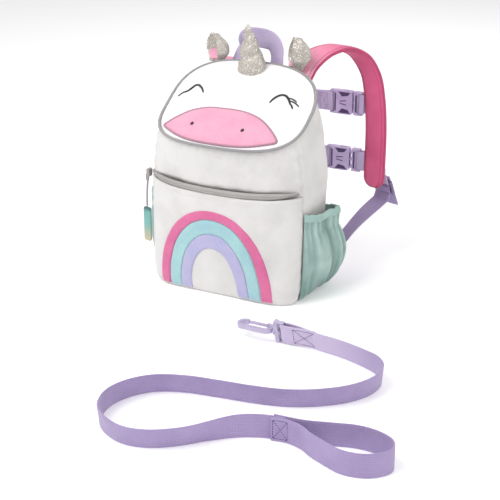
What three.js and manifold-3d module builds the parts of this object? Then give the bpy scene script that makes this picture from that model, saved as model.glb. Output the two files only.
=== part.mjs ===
// Toddler harness backpack with an animal-face lid, a rainbow pocket and a clip-on tether.
// Millimetres, +Z up. The origin is the middle of the flat bottom, the front faces -Y and +Y is
// the wearer's side.

import * as THREE from "three";
import { mergeVertices } from "three/addons/utils/BufferGeometryUtils.js";
import Module from "manifold-3d";

// Driving sizes
const GAP = 0.3; // clearance between pieces that touch on the real bag
const CLOTH = 2; // wall of the bag
const WEB_WIDTH = 25;
const WEB_THICK = 1.6;
const BAR_RADIUS = 1.6; // every bar that a web is wrapped round

// Outline of the bag from its floor to the zip, a row per height
const BODY = [
  { z: 0, half: 91, front: 46, back: 46, roundFront: 6, roundBack: 6 },
  { z: 8, half: 96, front: 51, back: 49.5, roundFront: 5, roundBack: 5.5 },
  { z: 24, half: 98.5, front: 53.5, back: 51, roundFront: 4.4, roundBack: 5.2 },
  { z: 62, half: 101, front: 56, back: 53, roundFront: 3.6, roundBack: 5 },
  { z: 100, half: 103, front: 57.2, back: 54, roundFront: 3.1, roundBack: 5 },
  { z: 129, half: 104, front: 57.6, back: 54, roundFront: 2.8, roundBack: 5 },
  { z: 145, half: 104, front: 60, back: 54, roundFront: 2.75, roundBack: 5 },
];
const UPPER_ROWS = [0.5, 1]; // shares of the wall from the zip up to the lid
const FRONT_COLUMNS = 16; // facets of the outline between the front seams
const BACK_COLUMNS = 24; // and round the sides and the back

const ZIP_ROW = BODY[BODY.length - 1];

// Lid: its seam rises from the front to the back
const LID = { half: 91.8, front: 59.2, back: 51, roundFront: 2.85, roundBack: 2.85 };
const SEAM_HEIGHT = 218.7;
const SEAM_SLOPE = 0.717;
const SEAM_BEND = 0.0033;
const LID_DOME = 13;
const LID_THICK = 3;
const DOME_POWER = 3;
const LID_STEPS = 32;
const PIPING_RADIUS = 2.2;
const PIPING_STEPS = 40;

// Front pocket and zip
const POCKET_SPACE = 10; // how far the bag's front wall lies behind the pocket's
const POCKET_LOW = 1.2;
const POCKET_TOP = 130.4;
const SEAM_Y = -28; // where the front joins the sides
const ZIP_LOW = 131;
const ZIP_HEIGHT = 10.6;
const ZIP_THICK = 1.3;
const ZIP_LIFT = 4; // how much higher the zip is at the sides
const ZIP_START = -99;
const ZIP_END = 98;
const CORD_RADIUS = 1.2; // of the cord on the zip's pull

// Rainbow: outer half width and height of each band above the pocket's foot
const MIDDLE = -3; // the face and the rainbow sit a little to the left of the middle
const RAINBOW_FOOT = 4;
const RAINBOW_THICK = 1.2;
const RAINBOW_ROUND = 2.15;
const RAINBOW = [
  { name: "rainbow_pink", half: 76, height: 105, color: 0xe8669a },
  { name: "rainbow_mint", half: 62, height: 94, color: 0x9fd4c6 },
  { name: "rainbow_lilac", half: 46, height: 76, color: 0xb79bd3 },
];
const RAINBOW_INNER = { half: 31, height: 58 };
const RAINBOW_STEPS = [
  0, 0.012, 0.03, 0.06, 0.11, 0.17, 0.23, 0.29, 0.36, 0.43, 0.5,
  0.57, 0.64, 0.71, 0.77, 0.83, 0.89, 0.94, 0.97, 0.988, 1,
]; // shares of the arch's half turn, close together at its feet

// Side pockets
const MESH_THICK = 1.4;
const MESH_LOW = 3;
const MESH_HEM = 98; // mean height of the elastic edge
const MESH_HEM_FALL = 6; // the edge drops this far either way, high at the front
const MESH_BULGE = 26;
const MESH_FOLDS = 5;
const MESH_COLUMNS = 7; // the pocket goes this many facets round from the front seam
const HEM_HEIGHT = 8;
const HEM_THICK = 2;

// Face on the lid
const MUZZLE = { half: 75, top: -16, fall: 27, round: 2.6, inset: 4, puff: 4.5 };
const HORN = { x: -1, y: 39, radius: 17.5, flat: 0.6, height: 52, lean: -6, turns: 2.4, groove: 1.1 };
const EARS = [
  { side: "left", x: -59.5, y: 54.8, z: 258.5, height: 34, radius: 19, depth: 8, faces: 215, tilt: -4 },
  { side: "right", x: 44.5, y: 57, z: 259, height: 38, radius: 21, depth: 8, faces: 195, tilt: 3 },
];
const EAR_CLOTH = 2.4;
const LINING = 1.2;
const EAR_WRAP = 105; // half angle that the ear's cloth goes round

// Shoulder straps: middle of each pad from the back of the bag to its lower end. The left one,
// given as if it were on the right, has dropped lower behind the bag.
const PAD_WIDTH = 31;
const PAD_THICK = 8;
const PAD_TURN = -20; // the pad's width turns this far from the X axis
const PADS = [
  { name: "right", side: 1, route: [
    [50, 57, 226], [50.5, 60.5, 244], [53, 69.5, 259], [59, 82, 269.5], [67, 98, 276], [79, 117, 277],
    [95, 135, 266.5], [107, 144, 244], [113, 146, 215], [117, 144, 180], [119, 140, 140], [120, 136, 102],
  ] },
  { name: "left", side: -1, route: [
    [50, 57, 222], [51, 61, 236], [54, 71, 246], [60, 85, 250], [69, 103, 250], [82, 122, 244],
    [96, 137, 228], [106, 144, 206], [113, 145, 184], [117, 143, 160], [119, 140, 137], [120, 136, 102],
  ] },
];
const LOCK_PLACE = [126, 155, 99];
const LOCK_TILT = 22; // the lock leans out from the pad by this much
const LOCK = { half: 14.2, rail: 2.4, thick: 3.6, barAt: 8, tail: 30 };
const LOWER_ROUTE = [
  [125, 151.5, 82], [121, 140, 77], [116, 122, 70], [110, 102, 60], [105, 84, 50], [100, 70.5, 40],
  [92, 60, 31], [77, 52, 26],
];

// Chest straps, a row per strap
const CHEST = [
  { name: "upper", z: 202, y: 150.5, bars: [54, 94], pad: 98.6, far: -90.5 },
  { name: "lower", z: 131, y: 144.4, bars: [54, 96], pad: 104.2, far: -103.6 },
];
const BUCKLE = { height: 30, thick: 9, half: 20.5 };

// Grab handle: middle of the webbing and the direction of its width
const HANDLE_ROUTE = [
  { at: [-31, 53.5, 232], across: [1, 0, 0] },
  { at: [-31, 54.3, 246], across: [1, 0, 0] },
  { at: [-31, 61.5, 261], across: [0.95, -0.3, 0.1] },
  { at: [-30, 66, 276], across: [0.7, -0.5, 0.4] },
  { at: [-22, 66, 289], across: [0.35, -0.3, 0.9] },
  { at: [-4, 65, 294], across: [0, -0.15, 1] },
  { at: [13, 66, 290], across: [-0.35, -0.3, 0.9] },
  { at: [20, 66, 276], across: [-0.7, -0.5, 0.4] },
  { at: [20, 61.5, 261], across: [-0.95, -0.3, 0.1] },
  { at: [20, 54.3, 246], across: [-1, 0, 0] },
  { at: [20, 53.5, 232], across: [-1, 0, 0] },
];

// Web loop low on the back for the tether's hook
const ANCHOR_ROUTE = [
  [0, 54.4, 66], [0, 55.4, 59], [0, 61.8, 52], [0, 62.4, 46], [0, 61.8, 40], [0, 54.6, 33], [0, 52.8, 26],
];

// Tether: rows give the lower edge of the webbing, which stands on the floor and leans forwards
const TETHER_LEAN = 17;
const LEAN_ASIDE = 0.53; // it leans this much to the right for each millimetre forwards
const EYE_PLACE = [131.5, -135.7, 14.7];
const TAIL = 40; // webbing folded back behind the clip and sewn down
const TETHER_ROUTE = [
  [172, -133.8, 1.6], [200, -136.5, 0.6], [229, -145, 0.3], [250, -156, 0.3], [262, -174, 0.3],
  [262, -198, 0.3], [249, -224, 0.3], [226, -246, 0.3], [198, -262, 0.3], [165, -271, 0.3],
  [127, -277, 0.3], [92, -284, 0.3], [65, -297, 0.3], [49, -318, 0.3], [43, -341, 0.3],
  [46, -362, 0.3], [56, -380, 0.3], [74, -393, 0.3], [96, -399, 0.3], [119, -394, 0.3],
  [141, -379, 0.3], [161, -358, 0.3], [184, -338, 0.3], [206, -327, 0.3], [226, -323, 0.3],
];
const LOOP_ROUTE = [
  [214, -328, 0.3], [228, -325.6, 0.3], [245, -329, 0.3], [260, -338, 0.3], [277, -345.5, 0.3],
  [296, -352, 0.3], [315, -350, 0.3], [329, -341, 0.3], [336, -328, 0.3], [331, -314, 0.3],
  [313, -305, 0.3], [292, -304, 0.3], [268, -311, 0.3], [246, -318, 0.3], [228, -320.4, 0.3],
  [214, -321.6, 0.3],
];

// Clip of the tether in its own frame: the eye's bar is at the origin and the hook points to -X
const CLIP = {
  endWall: [-10.5, -6], half: 14.2, stem: 2, hole: 2.5, hookStart: -13.5, hookEnd: -57, hookHalf: 9, rail: 4,
  thick: 5.2, pivot: -21.5, gateEnd: -46, gateThick: 2.4, gateHalf: 1.8,
};

const wasm = await Module();
wasm.setup();

const point = (x, y, z) => new THREE.Vector3(x, y, z);
const radians = (degrees) => (degrees * Math.PI) / 180;
const mix = THREE.MathUtils.lerp;
const smooth = (low, high, value) => THREE.MathUtils.smoothstep(value, low, high);
const steps = (count) => Array.from({ length: count + 1 }, (unused, i) => i / count);

// Makes a flat-shaded geometry from corners and triangles, with its faces turned outwards.
function facedOut(corners, faces) {
  let volume = 0;
  for (const [a, b, c] of faces) volume += corners[a].dot(corners[b].clone().cross(corners[c]));
  const order = volume < 0 ? [0, 2, 1] : [0, 1, 2];
  const values = faces.flatMap((face) => order.flatMap((k) => corners[face[k]].toArray()));
  const geometry = new THREE.BufferGeometry();
  geometry.setAttribute("position", new THREE.Float32BufferAttribute(values, 3));
  geometry.computeVertexNormals();
  return geometry;
}

// Joins rings of corners into one solid. "fan" closes its ends round a middle point, "strip" closes
// the ends of a sheet's thin rings, and "loop" joins the last ring to the first. The facets of both
// faces of a web or sheet are split the same way, so a twist keeps its thickness.
function stack(rings, ends = "fan") {
  const count = rings[0].length;
  const corners = rings.flat();
  const faces = [];
  const joins = ends === "loop" ? rings.length : rings.length - 1;
  for (let i = 0; i < joins; i++) {
    for (let j = 0; j < count; j++) {
      const a = i * count + j;
      const b = i * count + ((j + 1) % count);
      const above = (((i + 1) % rings.length) - i) * count;
      if (j < count / 2) faces.push([a, b, b + above], [a, b + above, a + above]);
      else faces.push([a, b, a + above], [b, b + above, a + above]);
    }
  }
  for (const end of ends === "loop" ? [] : [0, rings.length - 1]) {
    const first = end * count;
    const turned = end > 0;
    const push = (a, b, c) => faces.push(turned ? [a, b, c] : [a, c, b]);
    if (ends === "fan") {
      const middle = rings[end].reduce((sum, p) => sum.add(p), point(0, 0, 0)).divideScalar(count);
      corners.push(middle);
      for (let j = 0; j < count; j++) push(corners.length - 1, first + j, first + ((j + 1) % count));
    } else {
      for (let j = 0; j < count / 2 - 1; j++) {
        const back = count - 1 - j;
        push(first + j, first + j + 1, first + back - 1);
        push(first + j, first + back - 1, first + back);
      }
    }
  }
  return facedOut(corners, faces);
}

// A sheet of cloth: surface(u, v) gives its outer face at the values in "across" and "up", and its
// thickness goes the way of "inward".
function sheet(surface, across, up, thickness, inward) {
  const step = 1e-3;
  const [lowU, highU] = [across[0], across[across.length - 1]];
  const [lowV, highV] = [up[0], up[up.length - 1]];
  const rings = across.map((u) => {
    const outer = up.map((v) => surface(u, v));
    const inner = up.map((v) => {
      const alongU = surface(Math.min(u + step, highU), v).sub(surface(Math.max(u - step, lowU), v));
      const alongV = surface(u, Math.min(v + step, highV)).sub(surface(u, Math.max(v - step, lowV)));
      const normal = alongU.cross(alongV).normalize();
      const at = surface(u, v);
      return at.add(normal.multiplyScalar(thickness * Math.sign(normal.dot(inward(u, v)))));
    });
    return [...outer, ...inner.reverse()];
  });
  return stack(rings, "strip");
}

// Sweeps a section along a line of points. across(t) is the direction of the section's width, and
// section(t) its corners as pairs [along the width, along the thickness].
function sweep(line, across, section, ends = "fan") {
  const last = line.length - 1;
  const rings = line.map((at, i) => {
    const before = ends === "loop" ? line[(i + last) % line.length] : line[Math.max(i - 1, 0)];
    const after = ends === "loop" ? line[(i + 1) % line.length] : line[Math.min(i + 1, last)];
    const along = after.clone().sub(before).normalize();
    const width = across(i / last).clone();
    width.sub(along.clone().multiplyScalar(width.dot(along))).normalize();
    const thick = along.cross(width);
    return section(i / last).map(([a, b]) =>
      at.clone().add(width.clone().multiplyScalar(a)).add(thick.clone().multiplyScalar(b)));
  });
  return stack(rings, ends);
}

const curveThrough = (rows) =>
  new THREE.CatmullRomCurve3(rows.map((row) => point(...row)), false, "centripetal");
const linePoints = (rows, count) => curveThrough(rows).getSpacedPoints(count);

// Corners of a flat web's section
const webSection = (width = WEB_WIDTH) => () =>
  [[1, 1], [-1, 1], [-1, -1], [1, -1]].map(([a, b]) => [(a * width) / 2, (b * WEB_THICK) / 2]);

// The same where the line is the web's lower edge
const edgeSection = () => webSection()().map(([a, b]) => [a + WEB_WIDTH / 2, b]);

// Corners of a round cord's section
const roundSection = (radius, sides) => () => steps(sides).slice(1).map((t) =>
  [radius * Math.cos(t * 2 * Math.PI), radius * Math.sin(t * 2 * Math.PI)]);

// The arc of a web round a bar: starts at angle "from" and turns by "by", both in degrees.
function wrapArc(x, y, from, by, count = 6) {
  const radius = BAR_RADIUS + GAP + WEB_THICK / 2;
  return steps(count).map((t) => {
    const angle = radians(from + by * t);
    return [x + radius * Math.cos(angle), y + radius * Math.sin(angle)];
  });
}

// Booleans on closed meshes
function toSolid(geometry) {
  const bare = new THREE.BufferGeometry();
  const source = geometry.index ? geometry.toNonIndexed() : geometry;
  bare.setAttribute("position", source.getAttribute("position"));
  const merged = mergeVertices(bare, 1e-4);
  const triVerts = new Uint32Array(merged.index.array);
  return new wasm.Manifold(new wasm.Mesh({
    numProp: 3, vertProperties: merged.attributes.position.array, triVerts,
  }));
}

function fromSolid(solid) {
  const mesh = solid.getMesh();
  const geometry = new THREE.BufferGeometry();
  geometry.setAttribute("position", new THREE.Float32BufferAttribute(mesh.vertProperties, 3));
  geometry.setIndex(Array.from(mesh.triVerts));
  return geometry;
}

const join = (...pieces) => pieces.map(toSolid).reduce((all, piece) => all.add(piece));
const cut = (solid, ...pieces) => pieces.map(toSolid).reduce((rest, piece) => rest.subtract(piece), solid);

// A box from its lowest to its highest corner
function boxBetween(low, high) {
  const size = high.map((value, i) => value - low[i]);
  const middle = high.map((value, i) => (value + low[i]) / 2);
  return new THREE.BoxGeometry(...size).translate(...middle);
}

// A round rod through "at" along an axis of the part's frame
function rod(at, axis, radius, length, sides = 12) {
  const geometry = new THREE.CylinderGeometry(radius, radius, length, sides);
  if (axis === "x") geometry.rotateZ(Math.PI / 2);
  if (axis === "z") geometry.rotateX(Math.PI / 2);
  return geometry.translate(...at);
}

// A plate with rounded corners, in the XZ plane when "flat" is false and in the XY plane when true
function plate(width, height, corner, thick, flat = false) {
  const shape = new THREE.Shape();
  const [w, h] = [width / 2, height / 2];
  shape.moveTo(-w + corner, -h);
  shape.lineTo(w - corner, -h).absarc(w - corner, -h + corner, corner, -Math.PI / 2, 0);
  shape.lineTo(w, h - corner).absarc(w - corner, h - corner, corner, 0, Math.PI / 2);
  shape.lineTo(-w + corner, h).absarc(-w + corner, h - corner, corner, Math.PI / 2, Math.PI);
  shape.lineTo(-w, -h + corner).absarc(-w + corner, -h + corner, corner, Math.PI, Math.PI * 1.5);
  const settings = { depth: thick, bevelEnabled: false, curveSegments: 2 };
  const geometry = new THREE.ExtrudeGeometry(shape, settings).translate(0, 0, -thick / 2);
  return flat ? geometry : geometry.rotateX(Math.PI / 2);
}

// Bag outline
const seamHeight = (y) => SEAM_HEIGHT + SEAM_SLOPE * y + SEAM_BEND * y * y;

function mixRows(a, b, t) {
  return Object.fromEntries(Object.keys(LID).map((key) => [key, mix(a[key], b[key], t)]));
}

// The rows below and above a height, and the share of the way between them
function rowsAround(z) {
  const next = Math.max(1, BODY.findIndex((row) => row.z >= z));
  const [below, above] = [BODY[next - 1], BODY[next]];
  return { below, above, share: (z - below.z) / (above.z - below.z) };
}

// Point of a row's outline at an angle, drawn in by "inset"
function outline(row, angle, inset = 0) {
  const [c, s] = [Math.cos(angle), Math.sin(angle)];
  const depth = (s < 0 ? row.front : row.back) - inset;
  const power = 2 / (s < 0 ? row.roundFront : row.roundBack);
  const x = (row.half - inset) * Math.sign(c) * Math.abs(c) ** power;
  return { x, y: depth * Math.sign(s) * Math.abs(s) ** power };
}

// Angle at which a row's outline reaches the front seam, on the +X side
const seamAngle = (row) => -Math.asin((-SEAM_Y / row.front) ** (row.roundFront / 2));

// Angles of the outline's facets: u goes from 0 to 1 between the front seams, or round the back
const frontAngle = (row, u) => mix(-Math.PI - seamAngle(row), seamAngle(row), u);
const backAngle = (row, u) => mix(seamAngle(row), Math.PI - seamAngle(row), u);
const columnAngles = (row) => [
  ...steps(FRONT_COLUMNS).slice(0, -1).map((u) => frontAngle(row, u)),
  ...steps(BACK_COLUMNS).slice(0, -1).map((u) => backAngle(row, u)),
];

// Point of the wall at a height, where angleOf(row) is its angle round a row of the outline
function wallAt(z, angleOf, inset = 0) {
  const { below, above, share } = rowsAround(z);
  const [a, b] = [below, above].map((row) => outline(row, angleOf(row), inset));
  return { x: mix(a.x, b.x, share), y: mix(a.y, b.y, share) };
}

// The outline's front at a place x across the bag, as a depth y; "out" grows the outline
function frontAt(row, x, out = 0) {
  const share = Math.min(Math.abs(x) / (row.half + out), 1);
  return -(row.front + out) * (1 - share ** row.roundFront) ** (1 / row.roundFront);
}

// Outer point of the pocket's panel, which lies over the bag's front
function pocketPoint(x, z, out) {
  const { below, above, share } = rowsAround(z);
  return point(x, mix(frontAt(below, x, out), frontAt(above, x, out), share), z);
}

function bagShell() {
  const recess = (z, y) =>
    POCKET_SPACE * smooth(2, 14, z) * (1 - smooth(125, 144, z)) * smooth(28, 46, -y);
  const lower = (z, inset) => steps(FRONT_COLUMNS + BACK_COLUMNS).slice(0, -1).map((unused, i) => {
    const at = wallAt(z, (row) => columnAngles(row)[i], inset);
    return point(at.x, at.y + recess(z, at.y), z);
  });
  const upper = (t, inset) => {
    const row = mixRows(ZIP_ROW, LID, t * t);
    return columnAngles(row).map((angle) => {
      const at = outline(row, angle, inset);
      const top = seamHeight(outline(LID, angle, inset).y) - GAP / 2;
      return point(at.x, at.y, mix(ZIP_ROW.z, top, t));
    });
  };
  const heights = BODY.map((row) => row.z);
  const outside = [...heights.map((z) => lower(z, 0)), ...UPPER_ROWS.map((t) => upper(t, 0))];
  const inside = [...heights.map((z) => lower(Math.max(z, CLOTH), CLOTH)),
    ...UPPER_ROWS.map((t) => upper(t, CLOTH))];
  return stack([...outside, ...inside.reverse()]);
}

function pocketPanel() {
  const surface = (u, height) => {
    const z = height + ZIP_LIFT * (2 * u - 1) ** 2 * smooth(100, POCKET_TOP, height);
    const at = wallAt(z, (row) => frontAngle(row, u), -GAP - CLOTH);
    return point(at.x, at.y, z);
  };
  const heights = [POCKET_LOW, ...BODY.slice(1, -2).map((row) => row.z), POCKET_TOP];
  return sheet(surface, steps(FRONT_COLUMNS), heights, CLOTH, () => point(0, 1, 0));
}

function zipTape() {
  const surface = (u, v) => {
    const x = mix(ZIP_START, ZIP_END, u);
    const lift = ZIP_LIFT * (x / 100) ** 2;
    const taper = 0.45 + 0.55 * smooth(0, 0.12, u) * smooth(0, 0.12, 1 - u);
    const z = ZIP_LOW + lift + ZIP_HEIGHT * (0.5 + (v - 0.5) * taper);
    const out = GAP + ZIP_THICK + 0.2;
    const angle = -Math.acos((Math.abs(x) / (ZIP_ROW.half + out)) ** (ZIP_ROW.roundFront / 2));
    const at = outline(ZIP_ROW, x < 0 ? -Math.PI - angle : angle, -out);
    return point(at.x, at.y, z);
  };
  return sheet(surface, steps(22), [0, 1], ZIP_THICK, () => point(0, 1, 0));
}

// Lid
const lidReach = (x, y) => {
  const depth = y < 0 ? LID.front : LID.back;
  const power = LID.roundFront;
  return (Math.abs(x / LID.half) ** power + Math.abs(y / depth) ** power) ** (1 / power);
};
const lidHeight = (x, y, dome = LID_DOME) =>
  seamHeight(y) + GAP / 2 + dome * (1 - Math.min(lidReach(x, y), 1) ** DOME_POWER);

function lid() {
  const angles = steps(LID_STEPS).slice(0, -1).map((t) => t * 2 * Math.PI);
  const ring = (share, inset, dome) => angles.map((angle) => {
    const edge = outline(LID, angle, inset);
    const [x, y] = [edge.x * share, edge.y * share];
    return point(x, y, seamHeight(y) + GAP / 2 + dome * (1 - share ** DOME_POWER));
  });
  const shares = [0.2, 0.45, 0.66, 0.82, 0.93, 1];
  const outside = shares.map((share) => ring(share, 0, LID_DOME));
  const inside = shares.map((share) => ring(share, LID_THICK, LID_DOME - LID_THICK));
  return stack([...outside, ...inside.reverse()]);
}

function lidPiping() {
  const out = PIPING_RADIUS + GAP;
  const line = steps(PIPING_STEPS).slice(0, -1).map((t) => {
    const at = outline(LID, t * 2 * Math.PI, -out);
    return point(at.x, at.y, seamHeight(outline(LID, t * 2 * Math.PI).y));
  });
  return sweep(line, () => point(0, 0, 1), roundSection(PIPING_RADIUS, 5), "loop");
}

// Muzzle: a padded patch on the front of the lid
function muzzleEdge(t) {
  const angle = t * 2 * Math.PI;
  const across = Math.sign(Math.cos(angle)) * Math.abs(Math.cos(angle)) ** 0.75;
  const x = MIDDLE + MUZZLE.half * across;
  const upper = MUZZLE.top - MUZZLE.fall * Math.abs(across) ** MUZZLE.round;
  const lower = frontAt(LID, x) + MUZZLE.inset;
  return { x, y: mix(lower, upper, (1 + Math.sin(angle)) / 2) };
}

function muzzle() {
  const middle = { x: MIDDLE, y: -37 };
  const ring = (share, lift) => steps(24).slice(1).map((t) => {
    const edge = muzzleEdge(t);
    const [x, y] = [mix(middle.x, edge.x, share), mix(middle.y, edge.y, share)];
    return point(x, y, lidHeight(x, y) + lift);
  });
  const { puff } = MUZZLE;
  const rows = [[0.4, 0.7], [0.75, 0.7], [1, 0.8], [1, 1.9], [0.9, 3.4], [0.65, puff], [0.3, puff + 0.6]];
  return stack(rows.map(([share, lift]) => ring(share, lift)));
}

// Horn: a stuffed cone with a spiral groove
function horn() {
  const ring = (t, share) => {
    const radius = HORN.radius * (1 - t) ** 0.72 + 1;
    return steps(14).slice(1).map((turn) => {
      const angle = turn * 2 * Math.PI;
      const wave = Math.cos(angle - t * HORN.turns * 2 * Math.PI);
      const r = share * (radius - HORN.groove * (1 + wave) * (1 - t * 0.6));
      const [x, y] = [HORN.x + HORN.lean * t + r * Math.cos(angle), HORN.y + r * Math.sin(angle) * HORN.flat];
      const foot = lidHeight(x, y) + 0.6;
      return point(x, y, mix(foot, lidHeight(HORN.x, HORN.y) + HORN.height, t));
    });
  };
  return stack([ring(0, 0.5), ...steps(11).slice(0, -1).map((t) => ring(t, 1))]);
}

// Ear: cloth rolled round an open front. "grow" draws the roll in for the lining.
function ear(spec, grow, thickness, [low, high]) {
  const facing = radians(spec.faces);
  const surface = (u, v) => {
    const rise = mix(low, high, v);
    const round = (0.6 + 0.4 * smooth(0, 0.4, rise)) * (1 - 0.62 * smooth(0.5, 1.05, rise) ** 1.6);
    const deep = 0.35 + 0.65 * smooth(0, 0.35, rise);
    const angle = facing + Math.PI + radians(EAR_WRAP) * (2 * u - 1);
    const lean = Math.tan(radians(spec.tilt)) * spec.height * rise;
    return point(spec.x + lean + (spec.radius * round - grow) * Math.cos(angle),
      spec.y + (spec.depth * round * deep - grow) * Math.sin(angle), spec.z + spec.height * rise);
  };
  const middle = (u, v) => point(spec.x, spec.y, 0).sub(surface(u, v)).setZ(0);
  return sheet(surface, steps(10), steps(5), thickness, middle);
}

// Rainbow bands lie on the pocket's panel
function rainbowBand(outer, inner) {
  const band = (t, size, shrink) => {
    const angle = Math.PI * t;
    const x = Math.cos(angle);
    const z = Math.sin(angle);
    const power = 2 / RAINBOW_ROUND;
    return [(size.half + shrink) * Math.sign(x) * Math.abs(x) ** power,
      RAINBOW_FOOT + (size.height + shrink) * Math.abs(z) ** power];
  };
  const surface = (u, v) => {
    const [xOut, zOut] = band(u, outer, -GAP / 2);
    const [xIn, zIn] = band(u, inner, GAP / 2);
    return pocketPoint(MIDDLE + mix(xOut, xIn, v), mix(zOut, zIn, v), GAP + CLOTH + 0.9 + RAINBOW_THICK);
  };
  return sheet(surface, RAINBOW_STEPS, [0, 1], RAINBOW_THICK, () => point(0, 1, 0));
}

// Side pocket of stretch mesh, on the +X side; "side" -1 mirrors it
const meshTop = (u) => MESH_HEM + MESH_HEM_FALL * (1 - 2 * u);

function meshOut(u, v) {
  const rise = Math.sin(Math.PI * Math.min(v, 0.86) ** 0.9) ** 0.7;
  const along = Math.sin(Math.PI * u ** 1.15) ** 0.75;
  const fold = 1.3 * Math.cos(u * Math.PI * 2 * MESH_FOLDS) * Math.sin(Math.PI * u) * (0.25 + v);
  const low = 1 - smooth(0, 0.15, v);
  return GAP + MESH_THICK + 0.3 + 1.1 * low + (MESH_BULGE * rise + fold) * along;
}

function meshPoint(side, u, z, out) {
  const place = (ahead) =>
    wallAt(z, (row) => backAngle(row, (u * MESH_COLUMNS) / BACK_COLUMNS) + 0.03 * (1 - u) + ahead);
  const at = place(0);
  const ahead = place(0.01);
  const away = new THREE.Vector2(ahead.y - at.y, at.x - ahead.x).normalize();
  return point(side * (at.x + away.x * out), at.y + away.y * out, z);
}

function meshPocket(side) {
  const surface = (u, v) => meshPoint(side, u, mix(MESH_LOW, meshTop(u), v), meshOut(u, v));
  return sheet(surface, steps(21), steps(6), MESH_THICK, () => point(-side, 0, 0));
}

function meshHem(side) {
  const surface = (u, v) =>
    meshPoint(side, u, meshTop(u) + 0.5 + HEM_HEIGHT * v, Math.max(meshOut(u, 1) + 0.3 - v, HEM_THICK + 0.8));
  return sheet(surface, steps(21), [0, 1], HEM_THICK, () => point(-side, 0, 0));
}

// Shoulder straps
const mirrored = (rows, side) => rows.map(([x, y, z]) => [x * side, y, z]);

function shoulderPad({ side, route }) {
  const turn = (t) => radians(PAD_TURN * smooth(0.15, 0.5, t));
  const across = (t) => point(Math.cos(turn(t)), side * Math.sin(turn(t)), 0);
  const section = (t) => {
    const end = Math.min(1, 0.62 + 5 * (1 - t));
    const half = (PAD_WIDTH / 2) * Math.min(1, 0.8 + 2 * t) * end;
    const thick = (PAD_THICK / 2) * Math.min(1, 0.55 + 6 * t, 0.55 + 9 * (1 - t));
    return [[1, 0], [0.9, 0.7], [0.5, 1], [-0.5, 1], [-0.9, 0.7], [-1, 0], [-0.9, -0.7], [-0.5, -1],
      [0.5, -1], [0.9, -0.7]].map(([a, b]) => [a * half, b * thick]);
  };
  return sweep(linePoints(mirrored(route, side), 22), across, section);
}

// Place of a point given in the ladder lock's own frame: x across, y out of the pad, z towards it
function atLock(side, [x, y, z]) {
  const turn = new THREE.Euler(radians(LOCK_TILT), 0, radians(PAD_TURN), "ZYX");
  const at = point(x, y, z).applyEuler(turn).add(point(...LOCK_PLACE));
  return point(at.x * side, at.y, at.z);
}

// A ladder lock: two rails and three bars
function ladderLock() {
  const { half, rail, thick, barAt } = LOCK;
  const rails = [-1, 1].map((sign) => boxBetween(
    [sign * half - rail / 2, -thick / 2, -barAt - 2], [sign * half + rail / 2, thick / 2, barAt + 2]));
  const bars = [-barAt, 0, barAt].map((z) => rod([0, 0, z], "x", BAR_RADIUS, 2 * half, 10));
  return fromSolid(join(...rails, ...bars));
}

// A web sewn to the pad's outer face, which goes round the lock's top bar and back up
function lockWeb(side) {
  const ply = BAR_RADIUS + GAP + WEB_THICK / 2;
  const arc = wrapArc(0, LOCK.barAt, 180, 180);
  const threaded = [...arc, [ply, LOCK.barAt + 7]].map(([y, z]) => atLock(side, [0, y, z]));
  const sewn = mirrored([[122, 143.8, 126], [122.2, 143.6, 119], [123.2, 145.6, 114]], side);
  const across = atLock(side, [1, 0, 0]).sub(atLock(side, [0, 0, 0]));
  return sweep([...sewn.map((row) => point(...row)), ...threaded], () => across, webSection());
}

// From its free tail over the lock's middle bar, then down to the bag's bottom corner
function lowerStrap(side) {
  const ply = BAR_RADIUS + GAP + WEB_THICK / 2;
  const arc = wrapArc(0, 0, 0, 180).map(([y, z]) => [0, y, z]);
  const threaded = [[0, ply + 1, -LOCK.tail], [0, ply, -LOCK.barAt], ...arc, [0, -ply, -LOCK.barAt]];
  const start = threaded.map((at) => atLock(side, at));
  const route = linePoints(mirrored(LOWER_ROUTE, side), 12);
  const across = (t) => {
    const twists = [[0.94, -0.34, 0], [0.7, -0.5, 0.5], [0.03, -0.05, 1]].map((row) => point(...row));
    const way = twists[0].lerp(twists[1], smooth(0.45, 0.7, t)).lerp(twists[2], smooth(0.7, 0.95, t));
    return point(way.x * side, way.y, way.z);
  };
  return sweep([...start, ...route], across, webSection());
}

// Chest straps: each web is wrapped round a bar of its half of the buckle
function chestWebNear(spec) {
  const x = spec.bars[1];
  const ply = BAR_RADIUS + GAP + WEB_THICK / 2;
  const end = spec.pad - 0.4;
  const rows = [[end, spec.y + ply], ...wrapArc(x, spec.y, 90, 180), [end, spec.y - ply]];
  const line = rows.map(([px, py]) => point(px, py, spec.z));
  return sweep(line, () => point(0, 0, 1), webSection());
}

function chestWebFar(spec) {
  const x = spec.bars[0];
  const ply = BAR_RADIUS + GAP + WEB_THICK / 2;
  const sag = (t) => 3 * Math.sin(Math.PI * t);
  const long = steps(8).slice(0, -1).map((t) =>
    [mix(spec.far + 0.4, x, t), spec.y + ply * t, spec.z - sag(t)]);
  const arc = wrapArc(x, spec.y, 90, -180).map(([px, py]) => [px, py, spec.z]);
  const rows = [...long, ...arc, [x - 16, spec.y - ply, spec.z]];
  return sweep(rows.map((row) => point(...row)), () => point(0, 0, 1), webSection());
}

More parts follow.
